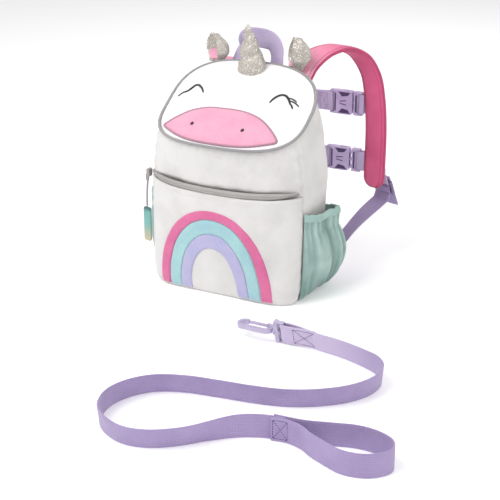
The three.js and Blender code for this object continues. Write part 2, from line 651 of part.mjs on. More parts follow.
// Buckle halves: the prong half slides along X into the socket half
function buckleSocket(spec) {
  const [x0, x1] = spec.bars;
  const { height, thick, half } = BUCKLE;
  const middle = (x0 + x1) / 2;
  const body = plate(2 * half - 14, height, 3, thick).translate(x0 + half - 5.2, spec.y, spec.z);
  const box = ([lowX, highX], z, [reachY, reachZ]) => boxBetween(
    [lowX, spec.y - reachY, spec.z + z - reachZ], [highX, spec.y + reachY, spec.z + z + reachZ]);
  const mouth = box([middle - 3, middle + 12], 0, [2.6, 11.6]);
  const windows = [-13, 13].map((z) => box([middle - 4.5, middle + 3.5], z, [2.6, 3.2]));
  const slot = box([x0 - 3.2, x0 + 4.4], 0, [6, 12.9]);
  const frame = box([x0 - 1.6, x0 + 6], 0, [3.4, height / 2]);
  const bar = rod([x0, spec.y, spec.z], "z", BAR_RADIUS, height - 1, 10);
  return fromSolid(cut(join(body, frame), mouth, ...windows, slot).add(toSolid(bar)));
}

function buckleProng(spec) {
  const [x0, x1] = spec.bars;
  const { height } = BUCKLE;
  const middle = (x0 + x1) / 2;
  const box = ([lowX, highX], z, [reachY, reachZ]) => boxBetween(
    [lowX, spec.y - reachY, spec.z + z - reachZ], [highX, spec.y + reachY, spec.z + z + reachZ]);
  const base = box([x1 - 9.4, x1 + 1.6], 0, [3.4, height / 2]);
  const slot = box([x1 - 4.4, x1 + 3.2], 0, [6, 12.9]);
  const bar = rod([x1, spec.y, spec.z], "z", BAR_RADIUS, height - 1, 10);
  const arms = [-12.4, 12.4].map((z) => box([middle - 4, middle + 3], z, [2.2, 2]));
  const fingers = [-9.6, 0, 9.6].map((z) => box([middle - 2.6, x1 - 8], z, [2.2, 1.6]));
  return fromSolid(cut(toSolid(base), slot).add(join(bar, ...arms, ...fingers)));
}

function grabHandle() {
  const middle = curveThrough(HANDLE_ROUTE.map((row) => row.at));
  const widths = curveThrough(HANDLE_ROUTE.map((row, i) => row.across.map((value) => value + i * 1e-3)));
  const line = steps(26).map((t) => middle.getPoint(t));
  return sweep(line, (t) => widths.getPoint(t), webSection());
}

// Zip pull: slider, cord and flat tab
function zipSlider() {
  const body = boxBetween([-103.6, -41, 131.6], [-99.6, -33, 141.4]);
  const tongue = boxBetween([-106.2, -38.6, 126], [-102.6, -35.4, 134]);
  return fromSolid(join(body, tongue));
}

function pullCord() {
  const rows = [[-104.2, -37, 125.5], [-105, -37.6, 114], [-105.4, -38, 100], [-105.4, -38, 92.5]];
  return sweep(linePoints(rows, 6), () => point(1, 0, 0), roundSection(CORD_RADIUS, 6));
}

function pullTab() {
  return plate(11.5, 44, 3, 3).rotateZ(radians(-12)).translate(-105.4, -38, 69.8);
}

// A web loop low on the back for the tether's hook
function tetherAnchor() {
  return sweep(linePoints(ANCHOR_ROUTE, 14), () => point(1, 0, 0), webSection());
}

function tetherEye() {
  const { half, endWall: [low, high] } = CLIP;
  const wall = boxBetween([low, -3.4, -half], [high, 3.4, half]);
  const sides = [-1, 1].map((sign) =>
    boxBetween([low, -2.2, sign * (half - 0.7) - 0.7], [BAR_RADIUS, 2.2, sign * (half - 0.7) + 0.7]));
  const bar = rod([0, 0, 0], "z", BAR_RADIUS, 2 * half - 1, 10);
  const boss = rod([low - 0.6, 0, 0], "x", 5, 1.6);
  const hole = rod([low, 0, 0], "x", CLIP.hole, 14);
  return fromSolid(cut(join(wall, ...sides, bar, boss), hole));
}

function tetherHook() {
  const { hookStart, hookEnd, hookHalf, rail, thick, pivot, gateEnd } = CLIP;
  const length = hookStart - hookEnd;
  const middle = (hookStart + hookEnd) / 2;
  const outer = plate(length, 2 * hookHalf, hookHalf - 0.5, thick, true).translate(middle, 0, 0);
  const inner = plate(length - 2 * rail, 2 * (hookHalf - rail), hookHalf - rail - 0.3, thick + 2, true)
    .translate(middle, 0, 0);
  const throat = boxBetween([gateEnd - 0.7, 0, -thick], [pivot - 2.4, hookHalf + 1, thick]);
  const fork = boxBetween([pivot - 3, 0, -1.5], [pivot + 2.7, hookHalf + 1, 1.5]);
  const pin = rod([pivot, hookHalf - rail / 2, 0], "z", 1, thick - 1, 10);
  const stem = rod([-9.6, 0, 0], "x", CLIP.stem, 9.4);
  const head = rod([-5, 0, 0], "x", 3.4, 1.3);
  return fromSolid(cut(toSolid(outer), inner, throat, fork).add(join(pin, stem, head)));
}

function tetherGate() {
  const { pivot, gateEnd, gateThick, gateHalf, hookHalf, rail } = CLIP;
  const y = hookHalf - rail / 2;
  const lever = boxBetween([gateEnd, y - gateHalf, -gateThick / 2], [pivot, y + gateHalf, gateThick / 2]);
  const knuckle = rod([pivot, y, 0], "z", 2.1, gateThick);
  const hole = rod([pivot, y, 0], "z", 1.3, 8, 12);
  return fromSolid(cut(join(lever, knuckle), hole));
}

function tetherWeb() {
  const lean = new THREE.Euler(radians(TETHER_LEAN), 0, 0);
  const place = ([x, y]) => point(x, y, -WEB_WIDTH / 2).applyEuler(lean).add(point(...EYE_PLACE));
  const ply = BAR_RADIUS + GAP + WEB_THICK / 2;
  const tail = [[TAIL, -1.2], [TAIL / 2, -1.6], [8, -ply]];
  const threaded = [...tail, ...wrapArc(0, 0, -90, -180), [8, ply]].map(place);
  const rest = linePoints([place([TAIL / 2, 1.4]).toArray(), ...TETHER_ROUTE], 56);
  const across = (t) => {
    const forwards = Math.tan(radians(TETHER_LEAN)) * (1 - smooth(0.88, 0.96, t));
    return point(LEAN_ASIDE * forwards * smooth(0.2, 0.35, t), -forwards, 1);
  };
  return sweep([...threaded, ...rest], across, edgeSection);
}

const tetherLoop = () => sweep(linePoints(LOOP_ROUTE, 30), () => point(0, 0, 1), edgeSection);

// Finishes
const WHITE = { color: 0xf3f2f0, roughness: 0.9 };
const PLUSH = { color: 0xfaf9f8, roughness: 1 };
const SILVER = { color: 0xb9b2a8, roughness: 0.5 };
const PIPING = { color: 0xa8a6a8, roughness: 0.6 };
const PINK = { color: 0xe0578c, roughness: 0.9 };
const LIGHT_PINK = { color: 0xf2a9c0, roughness: 0.9 };
const MINT = { color: 0xa6d8cb, roughness: 0.9 };
const LILAC = { color: 0xb397cf, roughness: 0.8 };
const LILAC_PLASTIC = { color: 0xa183c4, roughness: 0.4 };

const bag = new THREE.Group();

function addTo(group, name, geometry, finish) {
  const mesh = new THREE.Mesh(geometry, new THREE.MeshStandardMaterial({ metalness: 0, ...finish }));
  mesh.name = name;
  group.add(mesh);
  return mesh;
}
const add = (name, geometry, finish) => addTo(bag, name, geometry, finish);

add("bag_shell", bagShell(), WHITE);
add("pocket_panel", pocketPanel(), WHITE);
add("zip_tape", zipTape(), PIPING);
add("zip_slider", zipSlider(), PIPING);
add("pull_cord", pullCord(), PIPING);
add("pull_tab", pullTab(), MINT);
add("lid", lid(), PLUSH);
add("lid_piping", lidPiping(), PIPING);
add("muzzle", muzzle(), LIGHT_PINK);
add("horn", horn(), SILVER);
for (const spec of EARS) {
  add(`ear_outer_${spec.side}`, ear(spec, 0, EAR_CLOTH, [0, 1]), SILVER);
  add(`ear_lining_${spec.side}`, ear(spec, EAR_CLOTH + 6 * GAP, LINING, [0.3, 0.62]), LIGHT_PINK);
}
RAINBOW.forEach((band, i) => {
  const inner = RAINBOW[i + 1] ?? RAINBOW_INNER;
  add(band.name, rainbowBand(band, inner), { color: band.color, roughness: 0.9 });
});
for (const [sideName, side] of [["right", 1], ["left", -1]]) {
  add(`mesh_pocket_${sideName}`, meshPocket(side), MINT);
  add(`pocket_hem_${sideName}`, meshHem(side), MINT);
  add(`lock_web_${sideName}`, lockWeb(side), LILAC);
  add(`lower_strap_${sideName}`, lowerStrap(side), LILAC);
  const lock = add(`ladder_lock_${sideName}`, ladderLock(), LILAC_PLASTIC);
  lock.position.set(LOCK_PLACE[0] * side, LOCK_PLACE[1], LOCK_PLACE[2]);
  lock.rotation.set(radians(LOCK_TILT), 0, radians(PAD_TURN * side), "ZYX");
}
for (const pad of PADS) add(`shoulder_pad_${pad.name}`, shoulderPad(pad), PINK);
for (const spec of CHEST) {
  add(`chest_web_near_${spec.name}`, chestWebNear(spec), LILAC);
  add(`chest_web_far_${spec.name}`, chestWebFar(spec), LILAC);
  add(`buckle_socket_${spec.name}`, buckleSocket(spec), LILAC_PLASTIC);
  add(`buckle_prong_${spec.name}`, buckleProng(spec), LILAC_PLASTIC);
}
add("grab_handle", grabHandle(), LILAC);
add("tether_anchor", tetherAnchor(), LILAC);
add("tether_web", tetherWeb(), LILAC);
add("tether_loop", tetherLoop(), LILAC);

const eye = add("tether_eye", tetherEye(), LILAC_PLASTIC);
eye.rotation.x = radians(TETHER_LEAN);
const hook = add("tether_hook", tetherHook(), LILAC_PLASTIC);
const gate = add("tether_gate", tetherGate(), LILAC_PLASTIC);
for (const mesh of [eye, hook, gate]) mesh.position.set(...EYE_PLACE);

export default bag;
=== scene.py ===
import math

import bmesh
import bpy
import numpy as np
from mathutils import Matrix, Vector


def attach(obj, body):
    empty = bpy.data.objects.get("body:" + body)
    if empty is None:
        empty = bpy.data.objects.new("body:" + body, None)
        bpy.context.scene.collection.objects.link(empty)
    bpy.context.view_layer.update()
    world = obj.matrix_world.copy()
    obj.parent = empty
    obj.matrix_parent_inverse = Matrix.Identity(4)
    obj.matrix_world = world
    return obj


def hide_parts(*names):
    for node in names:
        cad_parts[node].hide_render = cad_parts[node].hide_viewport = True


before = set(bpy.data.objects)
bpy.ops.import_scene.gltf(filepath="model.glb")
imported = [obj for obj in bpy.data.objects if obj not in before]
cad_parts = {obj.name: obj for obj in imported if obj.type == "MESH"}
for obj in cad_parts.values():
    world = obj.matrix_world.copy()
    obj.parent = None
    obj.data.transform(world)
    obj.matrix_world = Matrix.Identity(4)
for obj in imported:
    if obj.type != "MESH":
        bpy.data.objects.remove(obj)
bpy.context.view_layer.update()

# Lengths are in millimetres until a mesh is made. -Y is the front and +Y the wearer's side.
MM = 0.001
ACROSS, BACK, UP = np.eye(3)


# Camera and lights: turns and heights in degrees, lengths here in metres

CAMERA_TURN, CAMERA_RISE, CAMERA_DISTANCE = 28.08, 21.22, 1.5
CAMERA_TARGET = (0.0167, 0, 0.0442)
LENS, SENSOR = 88.56, 36
LIGHT_TARGET = (0, 0, 0.1)


def turned(azimuth, elevation):
    """The direction from the object to a camera or light."""
    a, e = math.radians(azimuth), math.radians(elevation)
    return Vector((math.sin(a) * math.cos(e), -math.cos(a) * math.cos(e), math.sin(e)))


def add_aimed(name, data, at, direction, distance):
    obj = bpy.data.objects.new(name, data)
    bpy.context.scene.collection.objects.link(obj)
    obj.location = Vector(at) + direction * distance
    obj.rotation_euler = direction.to_track_quat("Z", "Y").to_euler()
    return obj


def make_camera():
    data = bpy.data.cameras.new("camera")
    data.lens = LENS
    data.sensor_width = SENSOR
    camera = add_aimed("camera", data, CAMERA_TARGET, turned(CAMERA_TURN, CAMERA_RISE), CAMERA_DISTANCE)
    bpy.context.scene.camera = camera


def add_light(name, azimuth, elevation, distance, size, power):
    data = bpy.data.lights.new(name, "AREA")
    data.size = size
    data.energy = power
    add_aimed(name, data, LIGHT_TARGET, turned(azimuth, elevation), distance)


make_camera()


# Numbers on curves and surfaces

def smooth(low, high, value):
    t = np.clip((np.asarray(value, float) - low) / (high - low), 0, 1)
    return t * t * (3 - 2 * t)


def mix(a, b, t):
    return a + (b - a) * t


def signed(values, power):
    """A power that keeps its value's sign."""
    return np.sign(values) * np.abs(values) ** power


def unit(v):
    return v / np.maximum(np.linalg.norm(v, axis=-1, keepdims=True), 1e-9)


def run_along(points):
    """How far along a line each of its points lies."""
    return np.concatenate([[0], np.cumsum(np.linalg.norm(np.diff(points, axis=0), axis=1))])


def resample(line, count):
    """count + 1 points at even distances along a line of points."""
    line = np.asarray(line, float)
    at = run_along(line)
    even = np.linspace(0, at[-1], count + 1)
    return np.stack([np.interp(even, at, line[:, k]) for k in range(line.shape[1])], -1)


CURVE_STEPS = 24


def curve(rows):
    """A dense centripetal curve through the rows."""
    p = np.array(rows, float)
    p = np.vstack([2 * p[0] - p[1], p, 2 * p[-1] - p[-2]])
    pieces = []
    for i in range(1, len(p) - 2):
        p0, p1, p2, p3 = p[i - 1:i + 3]
        k0, k1, k2 = (max(np.linalg.norm(b - a), 1e-6) ** 0.5 for a, b in ((p0, p1), (p1, p2), (p2, p3)))
        t1, t2, t3 = k0, k0 + k1, k0 + k1 + k2
        t = np.linspace(t1, t2, CURVE_STEPS, endpoint=False)[:, None]
        a1 = (t1 - t) / t1 * p0 + t / t1 * p1
        a2 = (t2 - t) / k1 * p1 + (t - t1) / k1 * p2
        a3 = (t3 - t) / k2 * p2 + (t - t2) / k2 * p3
        b1 = (t2 - t) / t2 * a1 + t / t2 * a2
        b2 = (t3 - t) / (t3 - t1) * a2 + (t - t1) / (t3 - t1) * a3
        pieces.append((t2 - t) / k1 * b1 + (t - t1) / k1 * b2)
    pieces.append(p[-2:-1])
    return np.vstack(pieces)


LATTICE_SIZE = 24
LATTICE = np.random.RandomState(7).rand(LATTICE_SIZE, LATTICE_SIZE, LATTICE_SIZE)


def lumps(points, size):
    """Soft noise from -1 to 1 at points, with lumps of about that size."""
    q = np.asarray(points, float) / size
    base = np.floor(q).astype(int)
    f = q - base
    f = f * f * (3 - 2 * f)
    total = 0
    for corner in np.ndindex(2, 2, 2):
        weight = np.prod([f[..., k] if corner[k] else 1 - f[..., k] for k in range(3)], axis=0)
        i, j, k = ((base[..., n] + corner[n]) % LATTICE_SIZE for n in range(3))
        total = total + weight * LATTICE[i, j, k]
    return 2 * total - 1


# Meshes

SHARP_CLOTH, SHARP_PLASTIC = math.radians(50), math.radians(70)


def finish_mesh(name, mesh, material, sharp):
    mesh.polygons.foreach_set("use_smooth", [True] * len(mesh.polygons))
    mesh.set_sharp_from_angle(angle=sharp)
    mesh.materials.append(material)
    obj = bpy.data.objects.new(name, mesh)
    bpy.context.scene.collection.objects.link(obj)
    return obj


def add_mesh(name, verts, faces, uvs, material, inside=None):
    """A smooth mesh piece whose faces point away from inside. uvs has a pair per face corner, in metres."""
    verts = np.asarray(verts, float).reshape(-1, 3)
    inside = verts.mean(0) if inside is None else np.asarray(inside, float)
    total = 0
    for face in faces:
        a, b, c = (verts[face[k]] for k in (0, 1, 2))
        total += np.dot(np.cross(b - a, c - b), a - inside)
    if total < 0:
        faces = [face[::-1] for face in faces]
        uvs = [uv[::-1] for uv in uvs]
    mesh = bpy.data.meshes.new(name)
    mesh.from_pydata((verts * MM).tolist(), [], faces)
    layer = mesh.uv_layers.new(name="cloth")
    layer.data.foreach_set("uv", np.array([p for uv in uvs for p in uv], np.float32).ravel())
    mesh.update()
    return finish_mesh(name, mesh, material, SHARP_CLOTH)


def grid(name, points, material, around=False, ends=(False, False), uv=None, inside=None):
    """A mesh over rows of points. around joins each row's end to its start, and ends closes the first
    and last row round their middles."""
    points = np.asarray(points, float)
    rows, cols = points.shape[:2]
    if uv is None:
        wrapped = np.concatenate([points, points[:, :1]], 1) if around else points
        u = np.cumsum(np.linalg.norm(np.diff(wrapped, axis=1, prepend=wrapped[:, :1]), axis=-1), 1)
        v = np.cumsum(np.linalg.norm(np.diff(wrapped, axis=0, prepend=wrapped[:1]), axis=-1), 0)
        u, v = np.broadcast_to(u.mean(0), u.shape), np.broadcast_to(v.mean(1)[:, None], v.shape)
        uv = np.stack([u, v], -1) * MM
    faces, uvs = [], []
    for i in range(rows - 1):
        for j in range(cols if around else cols - 1):
            k = (j + 1) % cols
            faces.append([i * cols + j, i * cols + k, (i + 1) * cols + k, (i + 1) * cols + j])
            uvs.append([uv[i, j], uv[i, j + 1], uv[i + 1, j + 1], uv[i + 1, j]])
    verts = points.reshape(-1, 3)
    for end, closes in zip((0, rows - 1), ends):
        if not closes:
            continue
        middle = len(verts)
        verts = np.vstack([verts, points[end].mean(0)])
        centre = verts[-1]
        for j in range(cols):
            k = (j + 1) % cols
            face = [end * cols + j, end * cols + k, middle]
            faces.append(face if end else face[::-1])
            corners = [(points[end, n] - centre)[:2] * MM for n in (j, k)] + [np.zeros(2)]
            uvs.append(corners if end else corners[::-1])
    return add_mesh(name, verts, faces, uvs, material, inside)


def store_fold_shade(obj, depth):
    """Keeps how much painted shade each corner of a piece gets, from 0 to 1, in its fold attribute, which the
    net's finish reads.
    """
    layer = obj.data.attributes.new("fold", "FLOAT", "POINT")
    values = np.zeros(len(obj.data.vertices), np.float32)
    values[:depth.size] = np.clip(depth, 0, 1).ravel()
    layer.data.foreach_set("value", values)


def thicken(obj, thickness):
    """Gives a sheet its cloth's thickness, inwards."""
    modifier = obj.modifiers.new("cloth", "SOLIDIFY")
    modifier.thickness = thickness * MM
    modifier.offset = -1
    return obj


def frames(line, across):
    """Directions across a line and out of its flat side."""
    along = unit(np.gradient(line, axis=0))
    width = unit(across - (across * along).sum(-1, keepdims=True) * along)
    return width, np.cross(along, width)


def sweep(name, line, across, section, material):
    """A closed section, as pairs along the width and the thickness, swept along a line of points."""
    line = np.asarray(line, float)
    section = np.broadcast_to(section, (len(line),) + np.shape(section)[-2:])
    width, thick = frames(line, np.broadcast_to(across, line.shape))
    points = line[:, None] + width[:, None] * section[..., :1] + thick[:, None] * section[..., 1:]
    closed = np.concatenate([section, section[:, :1]], 1)
    uv = np.stack([np.broadcast_to(run_along(line)[:, None], closed.shape[:2]), closed[..., 0]], -1) * MM
    return grid(name, points, material, True, (True, True), uv)


WEB_WIDTH = 25
WEB_THICK = 1.6


def web_section(cup=0.0, lift=0.0):
    """A web's section: flat with rounded edges, hollowed by cup and moved along its width by lift."""
    half = WEB_WIDTH / 2
    xs = np.array([1, 0.985, 0.95, 0.8, 0.4, 0, -0.4, -0.8, -0.95, -0.985, -1]) * half
    ys = np.array([0, 0.35, 0.48, 0.5, 0.5, 0.5, 0.5, 0.5, 0.48, 0.35, 0]) * WEB_THICK
    upper = np.stack([xs, ys], -1)
    lower = np.stack([xs[::-1], -ys[::-1]], -1)[1:-1]
    section = np.vstack([upper, lower])
    section[:, 1] += cup * (section[:, 0] / half) ** 2
    section[:, 0] += lift
    return section


def round_section(radius, sides=10, flat=1.0):
    angle = np.arange(sides) / sides * 2 * np.pi
    return np.stack([radius * np.cos(angle), radius * flat * np.sin(angle)], -1)


def join_up(name, verts, faces, material):
    """One piece from many small ones, each a pair of corners and faces."""
    corners = np.vstack(verts)
    shifted, start = [], 0
    for v, f in zip(verts, faces):
        shifted += [[k + start for k in face] for face in f]
        start += len(v)
    uvs = [[corners[k][:2] * MM for k in face] for face in shifted]
    obj = add_mesh(name, corners, shifted, uvs, material)
    mesh = bmesh.new()
    mesh.from_mesh(obj.data)
    bmesh.ops.recalc_face_normals(mesh, faces=mesh.faces)
    mesh.to_mesh(obj.data)
    mesh.free()
    return obj


def drum(rings, count):
    """Faces of a closed tube over rings of count corners."""
    quads = []
    for start in range(0, (rings - 1) * count, count):
        for j in range(count):
            after = (j + 1) % count
            quads.append([start + j, start + after, start + count + after, start + count + j])
    return quads + [list(range(count))[::-1], [(rings - 1) * count + j for j in range(count)]]


DASH_SIDES = 6
DASH_RINGS = ((-0.5, 0.4, -0.2), (-0.3, 0.9, 0.35), (0.3, 0.9, 0.35), (0.5, 0.4, -0.2))  # place, size, lift
DASH_FLAT = 0.7


def stitches(name, seams, material, pitch=3.4, length=2.3, radius=0.34):
    """Thread along seams, each a line of points and the directions out of the cloth there."""
    verts = []
    ring = np.arange(DASH_SIDES) / DASH_SIDES * 2 * np.pi
    for line, out in seams:
        line, out = np.asarray(line, float), np.broadcast_to(out, np.shape(line))
        total = np.linalg.norm(np.diff(line, axis=0), axis=1).sum()
        count = max(int(total / pitch), 1)
        both = resample(np.hstack([line, out]), 2 * count)
        for k in range(count):
            a, b = both[2 * k, :3], both[2 * k + 2, :3]
            up = unit(both[2 * k + 1, 3:])
            way = unit(b - a)
            side = np.cross(way, up)
            corners = []
            for share, size, lift in DASH_RINGS:
                middle = both[2 * k + 1, :3] + way * share * length + up * radius * lift
                for angle in ring:
                    around = side * math.cos(angle) + up * DASH_FLAT * math.sin(angle)
                    corners.append(middle + radius * size * around)
            verts.append(np.array(corners))
    return join_up(name, verts, [drum(len(DASH_RINGS), DASH_SIDES)] * len(verts), material)


def softened(node, name, material, bevel):
    """A rigid node's solid with its edges rounded, which stands for the node."""
    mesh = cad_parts[node].data.copy()
    mesh.name = name
    shape = bmesh.new()
    shape.from_mesh(mesh)
    bmesh.ops.remove_doubles(shape, verts=shape.verts, dist=1e-5)
    bmesh.ops.dissolve_limit(shape, angle_limit=math.radians(3), use_dissolve_boundaries=False,
                             verts=list(shape.verts), edges=list(shape.edges))
    shape.to_mesh(mesh)
    shape.free()
    mesh.materials.clear()
    for layer in list(mesh.uv_layers):
        mesh.uv_layers.remove(layer)
    obj = finish_mesh(name, mesh, material, SHARP_PLASTIC)
    modifier = obj.modifiers.new("edges", "BEVEL")
    modifier.width = bevel * MM
    modifier.segments = 2
    modifier.limit_method = "ANGLE"
    modifier.angle_limit = math.radians(32)
    return obj


def place(obj, slot, *nodes, body="bag"):
    """Puts a finished piece on its body and in the stead of its nodes. Its slot is not used."""
    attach(obj, body)
    if nodes:
        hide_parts(*nodes)
    return obj


def solid(node, slot, material, bevel, suffix="_body", body="bag"):
    """A rigid node's rounded solid in its place."""
    return place(softened(node, node + suffix, material, bevel), slot, node, body=body)


def sew(name, points, material, thick, slot, node, inside, around=False, ends=(False, False)):
    """A sheet of cloth over rows of points, in the stead of a node."""
    return place(thicken(grid(name, points, material, around, ends, inside=inside), thick), slot, node)


# Finishes

def linear(colour):
    """A colour given as six hexadecimal digits."""
    values = [int(colour[k:k + 2], 16) / 255 for k in (0, 2, 4)]
    return [v / 12.92 if v <= 0.04045 else ((v + 0.055) / 1.055) ** 2.4 for v in values] + [1.0]


def feed(tree, socket, value):
    """Sets a socket to a value, or links another socket to it."""
    if isinstance(value, bpy.types.NodeSocket):
        tree.links.new(value, socket)
    else:
        socket.default_value = value


def add_node(tree, kind, inputs=(), **settings):
    made = tree.nodes.new(kind)
    for key, value in settings.items():
        setattr(made, key, value)
    for key, value in dict(inputs).items():
        feed(tree, made.inputs[key], value)
    return made


def maths(operation):
    """A function that adds this sum to a tree and gives its output."""
    def add(tree, a, b=0.0, clamp=False):
        return add_node(tree, "ShaderNodeMath", {0: a, 1: b}, operation=operation, use_clamp=clamp).outputs[0]
    return add


plus, minus, times, divided = maths("ADD"), maths("SUBTRACT"), maths("MULTIPLY"), maths("DIVIDE")
power_of, smaller, above = maths("POWER"), maths("MINIMUM"), maths("GREATER_THAN")
sine, root, size_of, fraction = maths("SINE"), maths("SQRT"), maths("ABSOLUTE"), maths("FRACT")


def new_group(name, inputs, outputs):
    tree = bpy.data.node_groups.new(name, "ShaderNodeTree")
    for label, value in inputs.items():
        kind = "NodeSocketColor" if isinstance(value, (list, tuple)) else "NodeSocketFloat"
        tree.interface.new_socket(name=label, in_out="INPUT", socket_type=kind).default_value = value
    for label in outputs:
        kind = "NodeSocketColor" if label == "Colour" else "NodeSocketFloat"
        tree.interface.new_socket(name=label, in_out="OUTPUT", socket_type=kind)
    return tree, tree.nodes.new("NodeGroupInput").outputs, tree.nodes.new("NodeGroupOutput").inputs


def mix_colour(tree, share, a, b):
    made = tree.nodes.new("ShaderNodeMix")
    made.data_type = "RGBA"
    for socket, value in ((0, share), (6, a), (7, b)):
        feed(tree, made.inputs[socket], value)
    return made.outputs[2]


def in_millimetres(tree):
    """Object coordinates in millimetres."""
    where = add_node(tree, "ShaderNodeTexCoord").outputs["Object"]
    return add_node(tree, "ShaderNodeVectorMath", {0: where, 3: 1000.0}, operation="SCALE").outputs[0]


def noise(tree, where, scale, detail):
    made = add_node(tree, "ShaderNodeTexNoise", {"Vector": where, "Scale": scale, "Detail": detail})
    return made.outputs[0]


def parts_of(tree, kind):
    """The three parts of a texture coordinate."""
    where = add_node(tree, "ShaderNodeTexCoord").outputs[kind]
    return add_node(tree, "ShaderNodeSeparateXYZ", {0: where}).outputs


def make_weave():
    """Crossing threads in the cloth's own plane."""
    tree, given, out = new_group("woven_threads", {"Pitch Along": 0.6, "Pitch Across": 0.6}, ["Height"])
    parts = parts_of(tree, "UV")
    waves = [sine(tree, divided(tree, times(tree, part, 1000 * math.pi), given[pitch]))
             for part, pitch in ((parts[0], "Pitch Along"), (parts[1], "Pitch Across"))]
    over = above(tree, times(tree, *waves), 0.0)
    first, second = (size_of(tree, wave) for wave in waves)
    height = plus(tree, times(tree, over, first), times(tree, minus(tree, 1.0, over), second))
    tree.links.new(height, out["Height"])
    return tree


def make_tone():
    """Uneven dye and handling marks: large soft patches and a fine speckle."""
    plain = {"Colour": (1, 1, 1, 1), "Darker": (0.5, 0.5, 0.5, 1), "Amount": 0.3, "Size": 30.0}
    tree, given, out = new_group("uneven_colour", plain, ["Colour"])
    where = in_millimetres(tree)
    large = noise(tree, where, divided(tree, 1.0, given["Size"]), 3.0)
    patches = times(tree, minus(tree, large, 0.4, True), 2.2)
    speckle = times(tree, minus(tree, noise(tree, where, 1.1, 2.0), 0.35), 0.9)
    share = times(tree, plus(tree, patches, speckle), given["Amount"], True)
    tree.links.new(mix_colour(tree, share, given["Colour"], given["Darker"]), out["Colour"])
    return tree


def make_nap():
    """Short pile: clumps that lean together, and single hairs."""
    tree, given, out = new_group("short_pile", {"Clump": 2.5}, ["Height", "Tips"])
    where = in_millimetres(tree)
    clumps = times(tree, noise(tree, where, divided(tree, 1.0, given["Clump"]), 2.0), 0.6)
    height = plus(tree, clumps, times(tree, noise(tree, where, 2.8, 1.0), 0.4))
    tree.links.new(height, out["Height"])
    tree.links.new(times(tree, minus(tree, height, 0.35), 2.5, True), out["Tips"])
    return tree


def make_flakes():
    """Glitter: small flakes, each at its own angle and with a random shine, which also sets its painted
    glint.
    """
    tree, given, out = new_group("glitter_flakes", {"Flake": 0.9}, ["Shine", "Height"])
    where = in_millimetres(tree)
    scale = divided(tree, 1.0, given["Flake"])
    cells = add_node(tree, "ShaderNodeTexVoronoi", {"Vector": where, "Scale": scale}).outputs
    parts = add_node(tree, "ShaderNodeSeparateColor", {0: cells["Color"]}).outputs
    tree.links.new(parts[0], out["Shine"])
    height = plus(tree, times(tree, parts[1], 0.6), times(tree, cells["Distance"], 0.5))
    tree.links.new(height, out["Height"])
    return tree


def make_net():
    """Staggered round holes of a stretch net, 1 inside a hole."""
    tree, given, out = new_group("net_holes", {"Pitch": 2.2, "Hole": 0.3}, ["Hole", "Height"])
    parts = parts_of(tree, "UV")
    nearest = None
    for shift in (0.0, 0.5):
        squares = []
        for part, stretch in ((parts[0], 1.0), (parts[1], 0.6)):
            cell = divided(tree, times(tree, part, 1000.0 * stretch), given["Pitch"])
            away = minus(tree, fraction(tree, plus(tree, cell, shift + 20.0)), 0.5)
            squares.append(times(tree, away, away))
        distance = root(tree, plus(tree, *squares))
        nearest = distance if nearest is None else smaller(tree, nearest, distance)
    tree.links.new(times(tree, minus(tree, given["Hole"], nearest), 12.0, True), out["Hole"])
    tree.links.new(times(tree, nearest, 1.6, True), out["Height"])
    return tree


WOVEN, TONE, NAP, FLAKES, NET = make_weave(), make_tone(), make_nap(), make_flakes(), make_net()


def use(tree, group, **inputs):
    """A shared effect placed in a material, with its own values; a name's underscore is a space."""
    made = tree.nodes.new("ShaderNodeGroup")
    made.node_tree = group
    for key, value in inputs.items():
        feed(tree, made.inputs[key.replace("_", " ")], value)
    return made.outputs


def new_material(name, rough, sheen=0.0, coat=0.0, specular=0.5):
    material = bpy.data.materials.new(name)
    material.use_nodes = True
    tree = material.node_tree
    shader = tree.nodes["Principled BSDF"]
    values = {"Roughness": rough, "Sheen Weight": sheen, "Sheen Roughness": 0.4, "Coat Weight": coat,
              "Specular IOR Level": specular}
    for label, value in values.items():
        shader.inputs[label].default_value = value
    return material, tree, shader


def tone_of(tree, colour, darker, amount, size):
    made = use(tree, TONE, Colour=linear(colour), Darker=linear(darker), Amount=amount, Size=size)
    return made["Colour"]


def paint(tree, shader, share, tone, colour):
    """The surface's colour: a tone, and another colour by a share of it."""
    tree.links.new(mix_colour(tree, share, tone, linear(colour)), shader.inputs["Base Color"])


def relief(tree, shader, height, depth):
    bump = add_node(tree, "ShaderNodeBump", {"Height": height, "Distance": depth * MM, "Strength": 1.0})
    tree.links.new(bump.outputs[0], shader.inputs["Normal"])


def run_in(material, coordinate, low, high, colour, amount=1.0):
    """Runs a second colour in along a UV or object axis, from low to high in metres."""
    tree = material.node_tree
    kind, axis = coordinate
    share = divided(tree, minus(tree, parts_of(tree, kind)[axis], low), high - low, True)
    base = tree.nodes["Principled BSDF"].inputs["Base Color"]
    tone = base.links[0].from_socket
    tree.links.new(mix_colour(tree, times(tree, share, amount), tone, linear(colour)), base)


def cloth(name, colour, darker, pitch=0.7, amount=0.3, rough=0.9, depth=0.12):
    material, tree, shader = new_material(name, rough, 0.25, specular=0.25)
    threads = use(tree, WOVEN, Pitch_Along=pitch, Pitch_Across=pitch)["Height"]
    tone = tone_of(tree, colour, darker, amount, 38.0)
    paint(tree, shader, times(tree, minus(tree, 1.0, threads), 0.22, True), tone, darker)
    relief(tree, shader, threads, depth)
    return material


def plush(name, colour, darker, amount):
    material, tree, shader = new_material(name, 1.0, 0.6, specular=0.1)
    pile = use(tree, NAP, Clump=2.2)
    tone = tone_of(tree, colour, darker, amount, 22.0)
    paint(tree, shader, times(tree, minus(tree, 1.0, pile["Tips"]), 0.3, True), tone, darker)
    relief(tree, shader, pile["Height"], 0.5)
    return material


